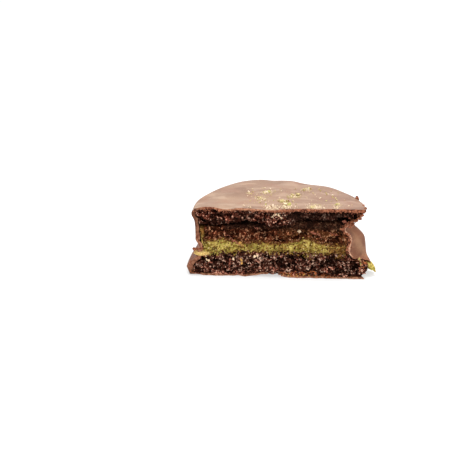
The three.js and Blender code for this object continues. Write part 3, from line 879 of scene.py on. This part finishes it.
PATCHES = [  # from x, to x; from z, to z; half-size; number; kind
    (-0.6, 14.0, 0.5, 2.4, 0.27, 120, RUST),
    (1.0, 14.0, 0.6, 1.6, 0.3, 22, GOLD),
    (15.0, 21.0, 0.4, 1.4, 0.25, 30, RUST),
    (-30.0, -7.0, 0.9, 2.2, 0.22, 80, PINK),
    (-27.2, -25.2, 4.6, 5.4, 0.28, 9, PINK),
    (-3.6, 0.6, 6.6, 8.2, 0.28, 12, PINK),
    (-2.6, -0.4, 2.8, 3.8, 0.3, 10, PINK),
    (5.0, 8.0, 5.6, 7.4, 0.26, 12, PINK),
    (16.0, 20.0, 2.4, 4.4, 0.24, 14, PINK),
    (22.5, 29.0, 22.6, 26.0, 0.26, 30, PINK),
    (29.0, 31.6, 2.0, 5.5, 0.28, 24, PINK),
    (28.8, 32.0, 3.0, 6.4, 0.26, 26, RUST),
    (-30.3, -28.4, 12.0, 18.0, 0.22, 16, RUST),
    (-33.6, -31.8, 1.0, 6.5, 0.2, 14, RUST),
    (-33.8, -32.2, 1.0, 7.0, 0.2, 12, PINK),
]


def cut_face(x, z):
    """The face that shows at a place on the cut: the foremost of the layers that reach this height."""
    layers = [
        (lower_front, 0.5, lower_top(x, 0)), (cream_front, lower_top(x, 0), cream_top(x, 0)),
        (middle_front, cream_top(x, 0), middle_top(x, 0)), (upper_front, upper_bottom(x, 0), 27)]
    depth = [np.where((z > low - 0.3) & (z < high + 0.3), front(x, z), 9.0) for front, low, high in layers]
    return np.minimum(np.min(depth, axis=0), 3.0)


def mark_grains():
    """Grains along x = x0 + s (x1 - x0), z = z0 + s (z1 - z0) + bend 4 s (1 - s), and over the patches."""
    random = np.random.default_rng(23)
    places, sizes, kinds = [], [], []
    for x0, z0, x1, z1, bend, size, number, kind in MARKS:
        s = (np.arange(number) + random.random(number)) / number
        x = lerp(x0, x1, s) + random.normal(0, 0.14, number)
        z = lerp(z0, z1, s) + bend * 4 * s * (1 - s) + random.normal(0, 0.14, number)
        places.append(np.stack([x, cut_face(x, z) - (0.3 if kind == PALE else 0.12), z], -1))
        sizes.append(size * random.uniform(0.6, 1.25, number))
        kinds.append(np.full(number, kind))
    for x0, x1, z0, z1, size, number, kind in PATCHES:
        x, z = random.uniform(x0, x1, number), random.uniform(z0, z1, number)
        places.append(np.stack([x, cut_face(x, z) - 0.1, z], -1))
        sizes.append(size * random.uniform(0.5, 1.2, number))
        kinds.append(np.full(number, kind))
    return np.concatenate(places), np.concatenate(sizes), np.concatenate(kinds)


places, sizes, kinds = mark_grains()
marks = scatter("crumb_marks", places, sizes, 24, detail=2, kind=kinds)

# %% [markdown]
# ## Crumbs of chocolate
# Where the coat snapped, it left crumbs of itself: up the inner edge of the shard and on its foot, under
# the bare end of the rim, along the rim's break and the top's edge, and as a splinter over the crack at
# the left. Three lie loose on the top. They are larger than the grains and have the broken coat's colour.

# %% Chocolate crumbs
UP_SHARD, UNDER_RIM, ON_RIM, TOP_EDGE, IN_CRACK, ON_FOOT = 100, 90, 60, 300, 40, 45  # how many of each
STRAYS = [(28, 11.3, float(top_of(28, 11.3)) + 0.15), (30.2, 1.6, 27.1), (29.6, 4.4, 27.1)]
STRAY_SIZES = [0.7, 0.5, 0.45]


def round_places(radius, angle, z):
    return np.stack([radius * np.cos(angle), radius * np.sin(angle), z], -1)


def chips_at_shard(random):
    """Within half a millimetre of the shard's inner edge, over its whole height."""
    z = random.uniform(9.5, 22.6, UP_SHARD)
    x = outside(0 * z, z) - 0.9 + random.normal(0, 0.35, UP_SHARD)
    return np.stack([x, np.abs(random.normal(0, 0.5, UP_SHARD)) - 0.2, z], -1)


def chips_at_rim(random):
    """Along a slanting line under the bare end of the rim, and round its broken edge."""
    s = random.random(UNDER_RIM)
    y = random.uniform(-0.4, 2.5, UNDER_RIM)
    z = lerp(20.6, 25.8, s) + random.normal(0, 0.35, UNDER_RIM)
    under = np.stack([lerp(24.8, 29.6, s), y, z], -1)
    angle, z = random.uniform(0, 0.36, ON_RIM), random.uniform(24.8, 26.9, ON_RIM)
    radius = np.minimum(outside(angle, z) - 0.7 + random.normal(0, 0.3, ON_RIM), 30.6)
    return np.concatenate([under, round_places(radius, angle, z)])


def chips_at_top_edge(random):
    """Below the top's front edge, 70 % of them over the right half, fewer with every half millimetre down."""
    at_right = random.random(TOP_EDGE) < 0.7
    x = np.where(at_right, random.uniform(-2, 29.5, TOP_EDGE), random.uniform(-33, -2, TOP_EDGE))
    below = np.abs(random.normal(0, 0.45, TOP_EDGE))
    y = -0.55 + 0.8 * below + random.normal(0, 0.1, TOP_EDGE)
    return np.stack([x, y, top_of(x, 0) - 0.55 - below], -1)


def chips_in_crack(random):
    """A splinter 4 mm long that lies over the tongue of cream."""
    s = random.random(IN_CRACK)
    y = random.uniform(-0.7, 0.2, IN_CRACK)
    return np.stack([lerp(-32.6, -28.6, s), y, lerp(10.2, 10.7, s) + random.normal(0, 0.2, IN_CRACK)], -1)


def chips_on_foot(random):
    """Along the shard's lower edge, 13 degrees round from the cut and down to 4.6 mm."""
    s = random.random(ON_FOOT)
    angle, z = lerp(0.0, 0.22, s), lerp(8.2, 4.6, s) + random.normal(0, 0.1, ON_FOOT)
    return round_places(outside(angle, z) - hang(angle, z) - 0.2, angle, z)


def chocolate_crumbs(name, seed):
    random = np.random.default_rng(seed)
    places = np.concatenate([
        chips_at_shard(random), chips_at_rim(random), chips_at_top_edge(random), chips_in_crack(random),
        STRAYS, chips_on_foot(random)])
    sizes = np.concatenate([
        random.uniform(0.15, 0.42, UP_SHARD), random.uniform(0.2, 0.5, UNDER_RIM),
        random.uniform(0.2, 0.5, ON_RIM), random.uniform(0.1, 0.3, TOP_EDGE),
        random.uniform(0.2, 0.38, IN_CRACK), STRAY_SIZES, random.uniform(0.1, 0.24, ON_FOOT)])
    return scatter(name, places, sizes, seed + 1, detail=2)


chips = chocolate_crumbs("chocolate_crumbs", 41)

# %% [markdown]
# ## Ground pistachio on the top
# It fell in pinches. The larger flecks of a pinch lie where the solids have them, found by the same
# small generator of seeded numbers. Finer powder lies between them and along the front edge, with a few
# bits of brown nut skin, and a film of it makes the chocolate paler inside each pinch.

# %% Pinches on the coat
PINCHES = [  # x, y, how far strewn, large flecks
    (-12.5, 16.7, 0.7, 1), (-5.7, 17.9, 1.4, 4), (-7.8, 10.4, 1.8, 2), (9.6, 21.8, 1.3, 4), (5, 13.6, 1.8, 4),
    (1.4, 7.4, 1.4, 4), (-3.8, 1.8, 1.8, 3), (1.6, 2.6, 1.6, 3), (12.2, 1.8, 2.2, 4), (20.4, 3.6, 1.1, 2)]


def seeded(state):
    """Numbers from 0 to 1: s becomes (1664525 s + 1013904223) mod 2^32 at each step."""
    while True:
        state = (state * 1664525 + 1013904223) % 4294967296
        yield state / 4294967296


def large_flecks():
    """Flecks of 0.4 to 0.8 mm, strewn evenly over the circle of each pinch."""
    draw = seeded(29)
    made = []
    for x, y, strewn, number in PINCHES:
        for _ in range(number):
            around, far = 2 * math.pi * next(draw), strewn * math.sqrt(next(draw))
            side = 0.42 + 0.4 * next(draw) ** 2
            px, py = x + far * math.cos(around), max(1, y + far * math.sin(around))
            turn = [3 * next(draw) for _ in range(3)]
            at = (px, py, float(top_of(px, py)) + side * 0.25)
            points, faces = lump_points(at, (side * 1.5, side, side * 0.8), turn, 0.3, len(made), 2)
            points[:, 2] -= max(0, points[:, 2].max() - HIGHEST)
            made.append((points, faces))
    return made


fleck_parts = large_flecks()
fleck_points, fleck_faces = joined(fleck_parts)
flecks = piece("pistachio_flecks", fleck_points, fleck_faces.tolist(), smooth=False)
fleck_tones = np.random.default_rng(3).random(len(fleck_parts))
paint(flecks, tone=np.repeat(fleck_tones, len(fleck_parts[0][0])))

# %% [markdown]
# The powder is strewn round the same pinches, most of it very fine, and lies on whatever height the top
# has there. What is too fine to model is left to the finish, as a number on the coat's points, and so is
# the painted light that the shard's bend catches, with a band of painted shade behind it.

# %% Powder and its film
EDGE_POWDER = ((-5, 0.8, 10), (0.8, 2.8, 26), (13.3, 1.1, 13), (20.5, 0.9, 5))  # x, how far strewn, number
EDGE_DEPTH, STRAY_SHARE, ON_TOP = 2.6, 0.12, 29
NUT_SKIN = ((10.6, 21.6), (0.6, 7.9), (2.9, 8.3))  # x, y


def powder_places(number, seed):
    """x, y and half-size of powder: a normal spread round each pinch, a few strays, and heaps at the edge."""
    random = np.random.default_rng(seed)
    table = np.array(PINCHES)
    which = random.choice(len(table), number, p=table[:, 3] / table[:, 3].sum())
    offset = random.normal(size=(number, 2)) * (0.75 * table[which, 2])[:, None]
    x, y = (table[which, :2] + offset).T
    stray = random.random(number) < STRAY_SHARE
    x = np.where(stray, random.uniform(-14, 26, number), x)
    y = np.abs(np.where(stray, random.uniform(0, 24, number), y))
    size = lerp(0.05, 0.24, random.random(number) ** 2) * np.where(stray, 1.7, 1.0)
    held = np.hypot(x, y) < ON_TOP
    edge_x = np.concatenate([random.normal(*heap) for heap in EDGE_POWDER])
    edge_y = random.uniform(0, EDGE_DEPTH, len(edge_x))
    edge_size = lerp(0.1, 0.36, random.random(len(edge_x)) ** 1.2)
    return [np.concatenate(v) for v in ((x[held], edge_x), (y[held], edge_y), (size[held], edge_size))]


dust_x, dust_y, dust_size = powder_places(1250, 5)
dust_tone = 0.94 * np.random.default_rng(9).random(len(dust_x)) * np.where(dust_y < 3.5, 0.4, 1.0)
for x, y in NUT_SKIN:
    near = np.hypot(dust_x - x, dust_y - y) < 0.75
    dust_tone[near], dust_size[near] = 1.0, np.maximum(dust_size[near], 0.22)
dust_z = top_of(dust_x, dust_y) + 0.3 * dust_size
dust = scatter("pistachio_powder", np.stack([dust_x, dust_y, dust_z], -1), dust_size, 8, tone=dust_tone)


def filmed(points):
    """How much powder lies as a film: 1 in the middle of a pinch, and the coat's top alone has it."""
    x, y, z = points.T
    pinches = [hump(at_x, 1.1 * far, x) * hump(at_y, 1.1 * far, y) for at_x, at_y, far, _ in PINCHES]
    return np.max(pinches, axis=0) * (z > 25)


def shine(points):
    """Painted light along the shard's bend, which slants back as it goes down, and painted shade behind it.
    """
    x, y, z = points.T
    degrees, bend = np.degrees(np.arctan2(y, x)), 4 + 0.5 * (18 - z)
    return (hump(bend, 2.2, degrees) - 0.8 * hump(bend + 5, 2.5, degrees)) * hump(12, 5, z)


paint(coat, powder=filmed(coat_points), sheen=shine(coat_points))

# %% [markdown]
# ## Finishes
# A finish is a small graph of shader sockets. The class below lets a socket be added and multiplied like
# a number, so each finish reads as the formula that it is.

# %% Shader arithmetic
class Wire:
    """A shader socket with arithmetic: each operator adds one Math node."""

    def __init__(self, finish, socket):
        self.finish, self.socket = finish, socket

    def _math(self, operation, *others, clamp=False):
        node = self.finish.tree.nodes.new("ShaderNodeMath")
        node.operation, node.use_clamp = operation, clamp
        for slot, value in zip(node.inputs, (self, *others)):
            self.finish.feed(slot, value)
        return Wire(self.finish, node.outputs[0])

    def __add__(self, other):
        return self._math("ADD", other)

    def __mul__(self, other):
        return self._math("MULTIPLY", other)

    def __sub__(self, other):
        return self._math("SUBTRACT", other)

    def __rsub__(self, other):
        return self * -1 + other

    def __truediv__(self, other):
        return self._math("DIVIDE", other)

    __radd__, __rmul__ = __add__, __mul__

    def above(self, low, high):
        """0 up to low, 1 from high, a straight line between."""
        return ((self - low) / (high - low))._math("ADD", 0.0, clamp=True)


class Finish:
    """A material's graph. `node` adds any node by type, with its settings and then its inputs."""

    def __init__(self, name):
        self.material = bpy.data.materials.new(name)
        self.material.use_nodes = True
        self.tree = self.material.node_tree
        self.tree.nodes.clear()
        self.place = self.node("ShaderNodeTexCoord", output="Object")

    def feed(self, slot, value):
        if isinstance(value, Wire):
            self.tree.links.new(value.socket, slot)
        else:
            slot.default_value = value

    def node(self, kind, settings=None, output=0, **inputs):
        node = self.tree.nodes.new(kind)
        for key, value in (settings or {}).items():
            setattr(node, key, value)
        for key, value in inputs.items():
            self.feed(node.inputs[key.replace("_", " ")], value)
        return Wire(self, node.outputs[output])

    def noise(self, size, detail=3.0, roughness=0.55, distortion=0.0, place=None):
        """Noise from 0 to 1 with features of `size` mm."""
        return self.node(
            "ShaderNodeTexNoise", Vector=place or self.place, Scale=1000 / size, Detail=detail,
            Roughness=roughness, Distortion=distortion)

    def drawn_out(self, angle, along, across):
        """Object coordinates turned about Z and squeezed, so that noise comes out as streaks at an angle."""
        return self.node(
            "ShaderNodeMapping", Vector=self.place, Rotation=(0, 0, math.radians(angle)),
            Scale=(1 / along, 1 / across, 1.0))

    def stored(self, name):
        """A number painted on the points of the mesh."""
        return self.node("ShaderNodeAttribute", {"attribute_name": name}, output="Fac")

    def mix(self, factor, first, second, how="MIX"):
        node = self.tree.nodes.new("ShaderNodeMix")
        node.data_type, node.blend_type = "RGBA", how
        for slot, value in ((0, factor), (6, first), (7, second)):
            self.feed(node.inputs[slot], value)
        return Wire(self, node.outputs[2])

    def surface(self, colour, roughness, bump=None, depth=0.0, **inputs):
        """Ends the graph: a principled surface, bumped by a height from 0 to 1 that stands for `depth` mm."""
        extra = dict(inputs)
        if bump is not None:
            extra["Normal"] = self.node("ShaderNodeBump", Strength=1.0, Distance=depth / 1000, Height=bump)
        shader = self.node("ShaderNodeBsdfPrincipled", Base_Color=colour, Roughness=roughness, **extra)
        out = self.tree.nodes.new("ShaderNodeOutputMaterial")
        self.tree.links.new(shader.socket, out.inputs["Surface"])
        return self.material


def srgb(red, green, blue):
    """Linear colour of an 8-bit screen colour: ((c + 0.055)/1.055)^2.4 above 0.04."""
    c = np.array([red, green, blue]) / 255
    linear = np.where(c <= 0.04045, c / 12.92, ((c + 0.055) / 1.055) ** 2.4)
    return (*map(float, linear), 1.0)


# %% [markdown]
# Milk chocolate has a satin skin with soft clouds, partly bloom and partly painted reflection. The top is
# paler and greyer than the wall, partly a painted sheen of the light on it, with streaks of painted
# highlight. Where it has snapped it is matt, reddish and specked.

# %% Chocolate finishes
def milk_chocolate():
    """Brown on the wall, with painted light and shade at the shard's bend; on the top paler, partly painted
    sheen, clouded, with streaks of painted highlight, darker to the right, with a powder film.
    """
    f = Finish("milk_chocolate")
    height = f.node("ShaderNodeSeparateXYZ", output=2, Vector=f.place)
    cloud = f.noise(13, 3, 0.5, 0.5, f.drawn_out(-58, 2.4, 1.0))
    streak = f.noise(3.4, 2, 0.5, 0.4, f.drawn_out(-58, 3.0, 1.0))
    fine, sheen = f.noise(0.5, 2), f.stored("sheen")
    patch = f.noise(5, 4, 0.6, 0.6)
    wall = f.mix(patch.above(0.36, 0.66), srgb(102, 52, 22), srgb(132, 80, 46))
    wall = f.mix(f.noise(1.6, 3, 0.6).above(0.52, 0.7) * 0.4, wall, srgb(156, 110, 76))
    # Painted light along the shard's bend.
    wall = f.mix(sheen.above(0, 1) * 0.5, wall, srgb(164, 124, 88))
    # Painted shade in the band behind it.
    wall = f.mix((sheen * -1).above(0, 1) * 0.5, wall, srgb(96, 52, 26))
    # Painted sheen: the top's colours are paler and greyer than the wall's, and the clouds between them are
    # partly bloom and partly painted reflection.
    top = f.mix(cloud.above(0.38, 0.62), srgb(123, 90, 68), srgb(150, 119, 95))
    top = f.mix(f.noise(7, 2, 0.5, 0.6).above(0.5, 0.66) * 0.5, top, srgb(146, 104, 80))
    # Lighter streaks of painted highlight.
    top = f.mix(streak.above(0.5, 0.62) * 0.7, top, srgb(167, 138, 114))
    top = f.mix(fine.above(0.56, 0.7) * 0.35, top, srgb(176, 150, 126))
    across = f.node("ShaderNodeSeparateXYZ", output=0, Vector=f.place).above(-0.02, 0.025)
    top = f.mix(across * 0.9, top, f.mix(1.0, top, (0.84, 0.78, 0.82, 1.0), "MULTIPLY"))
    upper = height.above(0.0235, 0.0262)
    colour = f.mix(upper, wall, top)
    powder = f.stored("powder") * f.noise(0.9, 3, 0.6).above(0.44, 0.6)
    colour = f.mix(powder * 0.65, colour, srgb(200, 186, 146))
    bumps = cloud * 0.65 + streak * 0.25 + fine * 0.1
    return f.surface(colour, 0.56 + cloud * 0.16 + powder * 0.3 - upper * 0.2, bumps, 0.45, IOR=1.55)


def crumbled_chocolate():
    f = Finish("chocolate_crumb")
    speck = f.noise(0.9, 3)
    colour = f.mix(speck.above(0.38, 0.6), srgb(92, 46, 30), srgb(172, 108, 78))
    return f.surface(colour, 0.75, speck, 0.25, Specular_IOR_Level=0.15)


def snapped_chocolate():
    """Reddish along the top, duller at the base, and pale up the inner edge of the shard, partly a painted
    highlight.
    """
    f = Finish("snapped_edge")
    speck = f.noise(0.9, 3)
    across = f.node("ShaderNodeSeparateXYZ", output=0, Vector=f.place)
    height = f.node("ShaderNodeSeparateXYZ", output=2, Vector=f.place)
    right = across.above(-0.008, 0.0)
    dark = f.mix(right, srgb(116, 62, 40), srgb(84, 38, 22))
    colour = f.mix(speck.above(0.38, 0.6), dark, f.mix(right, srgb(192, 136, 104), srgb(172, 110, 80)))
    base = f.mix(speck.above(0.38, 0.6), srgb(112, 66, 44), srgb(174, 124, 94))
    colour = f.mix(height.above(0.002, 0.004), base, colour)
    left = f.mix(height.above(0.014, 0.019) * 0.4 + 0.5, colour, srgb(84, 44, 24))
    colour = f.mix(across.above(-0.032, -0.029), left, colour)
    # Paler up the shard's inner edge, partly a painted highlight where light catches it.
    shard = across.above(0.02, 0.0215) * (1 - height.above(0.0205, 0.0215)) * height.above(0.008, 0.0095)
    colour = f.mix(shard, colour, f.mix(speck.above(0.35, 0.5), srgb(158, 104, 76), srgb(212, 166, 136)))
    return f.surface(colour, 0.7, speck, 0.2, Specular_IOR_Level=0.2)


# %% [markdown]
# The crumb's colour comes from the numbers on its points: painted shade in the pits, the dough's own brown
# on the grains, pale on a few tips, which is partly a painted highlight, then painted shade and darker
# stretches, and the tints over that. The grains that lie on it use the same finish.

# %% Crumb finishes
def cocoa_crumb(name, pit, body, grain, tip):
    """Colour by height as painted shade in the pits, then by the grain's tone, with pale tips that are
    partly painted highlight, then the painted shade and darker stretches, the red and olive tints, and
    the painted shade in the recesses.
    """
    f = Finish(name)
    relief, tone, sunk = f.stored("relief"), f.stored("tone"), f.stored("sunken")
    fine = f.noise(0.5, 3)
    patch = f.noise(1.6, 2)
    speck = f.noise(0.85, 1, 0.5)
    height = relief + fine * 0.6 - 0.3
    # Painted shade in the pits: the lower the relief, the nearer the colour is to the pit colour.
    colour = f.mix(height.above(-0.75, 0.15), pit, body)
    colour = f.mix((tone + patch * 0.6 + height * 0.3).above(0.8, 1.1), colour, grain)
    # Pale tips where tone and height run high, partly a painted highlight.
    colour = f.mix((tone + fine * 0.6 + height * 0.4).above(1.18, 1.28), colour, tip)
    colour = f.mix((1 - speck).above(0.52, 0.58) * 0.85, colour, pit)
    # Pale specks, partly a painted highlight, held back where the crumb is painted darker.
    colour = f.mix(speck.above(0.61, 0.66) * (1 - f.stored("shade")) * 0.85, colour, tip)
    # Painted shade and darker stretches: the colour is multiplied down where the mask runs high.
    colour = f.mix(f.stored("shade") * 0.85, colour, f.mix(1.0, colour, (0.42, 0.34, 0.32, 1.0), "MULTIPLY"))
    colour = f.mix(f.stored("red") * 0.45, colour, f.mix(1.0, colour, (1.7, 0.95, 0.8, 1.0), "MULTIPLY"))
    olive = f.mix(fine.above(0.35, 0.65), srgb(76, 42, 16), srgb(138, 96, 46))
    colour = f.mix(f.stored("olive") * 0.4 * height.above(-0.7, 0.1), colour, olive)
    # Painted shade in the crevice, the slit over the middle biscuit and the torn hollow.
    colour = f.mix(sunk * 0.85, colour, f.mix(fine.above(0.38, 0.62), srgb(30, 15, 11), srgb(66, 40, 30)))
    return f.surface(colour, 0.9, fine, 0.12, Specular_IOR_Level=0.04)


def mark_finish():
    """One colour for each kind, from PALE to GREEN, with brown specks over all of them."""
    f = Finish("crumb_mark")
    kind = f.stored("kind")
    fine = f.noise(0.4, 3)
    colour = f.mix(kind.above(0.19, 0.21), srgb(244, 214, 178), srgb(172, 104, 84))
    colour = f.mix(kind.above(0.39, 0.41), colour, srgb(166, 92, 52))
    colour = f.mix(kind.above(0.59, 0.61), colour, srgb(206, 156, 88))
    colour = f.mix(kind.above(0.79, 0.81), colour, srgb(176, 156, 96))
    colour = f.mix(fine.above(0.5, 0.7) * 0.4, colour, srgb(96, 52, 34))
    return f.surface(colour, 0.75, fine, 0.08, Specular_IOR_Level=0.15)


# %% [markdown]
# Pistachio is gold to green, and brown where crumb or nut skin is mixed in. Three finishes use it: the
# paste, the bits in it, and the ground nut on the top.

# %% Pistachio finishes
def pistachio_paste():
    """Brown where crumb is rubbed in, gold and green where it is clean, dark brown in its folds as painted
    shade, and gold on the tongue, partly painted light.
    """
    f = Finish("pistachio_cream")
    relief, tone, fresh = f.stored("relief"), f.stored("tone"), f.stored("fresh")
    fine = f.noise(0.5, 3)
    speck = f.noise(0.8, 1, 0.5)
    patch = f.noise(2.6, 2, 0.5, 0.4)
    dull = f.mix(tone.above(0.2, 0.8), srgb(92, 54, 18), srgb(150, 106, 46))
    clean = f.mix(tone.above(0.15, 0.75), srgb(140, 112, 36), srgb(212, 192, 104))
    green = f.mix(tone.above(0.2, 0.8), srgb(112, 102, 26), srgb(184, 176, 78))
    clean = f.mix(patch.above(0.46, 0.62) * 0.7, clean, green)
    colour = f.mix(fresh.above(0.1, 0.6), dull, clean)
    colour = f.mix(speck.above(0.6, 0.66) * 0.45, colour, srgb(210, 180, 112))
    colour = f.mix((1 - speck).above(0.58, 0.64) * 0.5, colour, srgb(84, 48, 14))
    # Gold of the tongue, partly painted light.
    gold = f.mix(fine.above(0.4, 0.6), srgb(196, 156, 88), srgb(236, 206, 136))
    colour = f.mix(f.stored("golden") * 0.9, colour, gold)
    # Painted shade in the folds: dark brown where the relief is low.
    colour = f.mix((fine * 0.8 - relief).above(0.55, 1.0) * 0.75, colour, srgb(66, 32, 6))
    return f.surface(colour, 0.6, fine, 0.12, Specular_IOR_Level=0.12)


def pistachio_bit():
    f = Finish("pistachio_bit")
    tone = f.stored("tone")
    colour = f.mix(tone.above(0.1, 0.4), srgb(78, 40, 20), srgb(150, 108, 46))
    colour = f.mix(tone.above(0.45, 0.85), colour, srgb(206, 182, 104))
    colour = f.mix(tone.above(0.94, 0.98), colour, srgb(232, 208, 156))
    return f.surface(colour, 0.7, Specular_IOR_Level=0.12)


def pistachio_ground():
    f = Finish("ground_pistachio")
    tone = f.stored("tone")
    fine = f.noise(0.5, 2)
    colour = f.mix(tone.above(0.2, 0.5), srgb(228, 208, 182), srgb(200, 182, 134))
    colour = f.mix(tone.above(0.55, 0.85), colour, srgb(172, 166, 100))
    colour = f.mix(tone.above(0.95, 0.97), colour, srgb(132, 76, 50))
    colour = f.mix(fine.above(0.5, 0.62) * 0.5, colour, srgb(150, 118, 70))
    return f.surface(colour, 0.8, Specular_IOR_Level=0.2)


# %% [markdown]
# Each piece gets its finish and says where it belongs. The five skins stand in for the five solids; the
# rest lies on them. The coat's broken edges were its last faces, so they get the snapped finish.

# %% Dressing the pieces
def dress(obj, material, node):
    """Gives a piece its finish and the body that it rides on, and hides the solid that it stands in for."""
    obj.data.materials.append(material)
    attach(obj, "root")
    if node:
        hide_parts(node)


dress(coat, milk_chocolate(), "chocolate_coat")
coat.data.materials.append(snapped_chocolate())
which = np.zeros(len(coat.data.polygons), np.int32)
which[-edge_faces:] = 1
coat.data.polygons.foreach_set("material_index", which)

cocoa = cocoa_crumb("cocoa_crumb", srgb(28, 10, 5), srgb(72, 36, 25), srgb(124, 74, 57), srgb(214, 178, 155))
soaked = cocoa_crumb(
    "soaked_crumb", srgb(42, 16, 5), srgb(86, 42, 23), srgb(126, 72, 46), srgb(214, 162, 124))
for obj, material, node, slot in (
    (lower, cocoa, "lower_biscuit", "cocoa_biscuit"), (lower_grains, cocoa, None, "cocoa_biscuit"),
    (upper, cocoa, "upper_biscuit", "cocoa_biscuit"), (upper_grains, cocoa, None, "cocoa_biscuit"),
    (middle, soaked, "middle_biscuit", "soaked_biscuit"), (middle_grains, soaked, None, "soaked_biscuit"),
):
    dress(obj, material, node)
paste = pistachio_paste()
dress(cream, paste, "pistachio_cream")
dress(leak, paste, None)
dress(cream_bits, pistachio_bit(), None)
dress(marks, mark_finish(), None)
dress(chips, crumbled_chocolate(), None)
ground = pistachio_ground()
dress(flecks, ground, None)
dress(dust, ground, None)

# %% [markdown]
# ## Setting
# A white table that runs out of sight, so brightly lit that it is as good as a lamp itself, under a soft
# white tent. A large lamp overhead lights the top, and a weaker one in front at the right models the cut.
# The table glows a little, so that only the closest shadow can be seen on it.

# %% Floor, light and camera
floor_mesh = bpy.data.meshes.new("floor")
floor_mesh.from_pydata([(-4, -4, 0), (4, -4, 0), (4, 4, 0), (-4, 4, 0)], [], [(0, 1, 2, 3)])
floor = bpy.data.objects.new("floor", floor_mesh)
bpy.context.scene.collection.objects.link(floor)
white = Finish("white_table")
floor.data.materials.append(white.surface(
    (0.4, 0.4, 0.4, 1.0), 0.8, Emission_Color=(1, 1, 1, 1), Emission_Strength=0.55, Specular_IOR_Level=0.1))

world = bpy.data.worlds.new("tent")
world.use_nodes = True
world.node_tree.nodes["Background"].inputs["Color"].default_value = (1, 1, 1, 1)
world.node_tree.nodes["Background"].inputs["Strength"].default_value = 0.9
bpy.context.scene.world = world


def look(direction):
    """Euler angles that turn -Z to the direction, level with the horizon."""
    x, y, z = np.array(direction, float) / np.linalg.norm(direction)
    return (math.acos(-z), 0.0, math.atan2(y, x) - math.pi / 2)


def lamp(name, place, target, size, power):
    light = bpy.data.lights.new(name, "AREA")
    light.shape, light.size, light.energy = "DISK", size, power
    obj = bpy.data.objects.new(name, light)
    bpy.context.scene.collection.objects.link(obj)
    obj.location = place
    obj.rotation_euler = look(np.array(target) - np.array(place))


lamp("overhead", (0.1, 0.1, 1.0), (0, 0, 0.02), 0.6, 10.0)
lamp("front", (0.35, -0.6, 0.6), (0, 0, 0.01), 0.4, 2.0)

# Metres and degrees: the camera stands a little to the right and looks down on the cut.
CAMERA_AWAY, CAMERA_AZIMUTH, CAMERA_PITCH = 0.300, 3.5, 22.3
CAMERA_FOCAL_PX, IMAGE_PX = 803.0, 460.0
LOOK_AT = (-0.0195, -0.0124, 0.0161)
azimuth, pitch = math.radians(CAMERA_AZIMUTH), math.radians(CAMERA_PITCH)
level = math.cos(pitch)
backwards = np.array([math.sin(azimuth) * level, -math.cos(azimuth) * level, math.sin(pitch)])
lens = bpy.data.cameras.new("camera")
lens.sensor_width = 36.0
lens.lens = lens.sensor_width * CAMERA_FOCAL_PX / IMAGE_PX
camera = bpy.data.objects.new("camera", lens)
bpy.context.scene.collection.objects.link(camera)
camera.location = np.array(LOOK_AT) + backwards * CAMERA_AWAY
camera.rotation_euler = look(-backwards)
print("camera at", [round(float(v), 4) for v in camera.location])
bpy.context.scene.camera = camera
bpy.context.scene.view_settings.view_transform = "Standard"
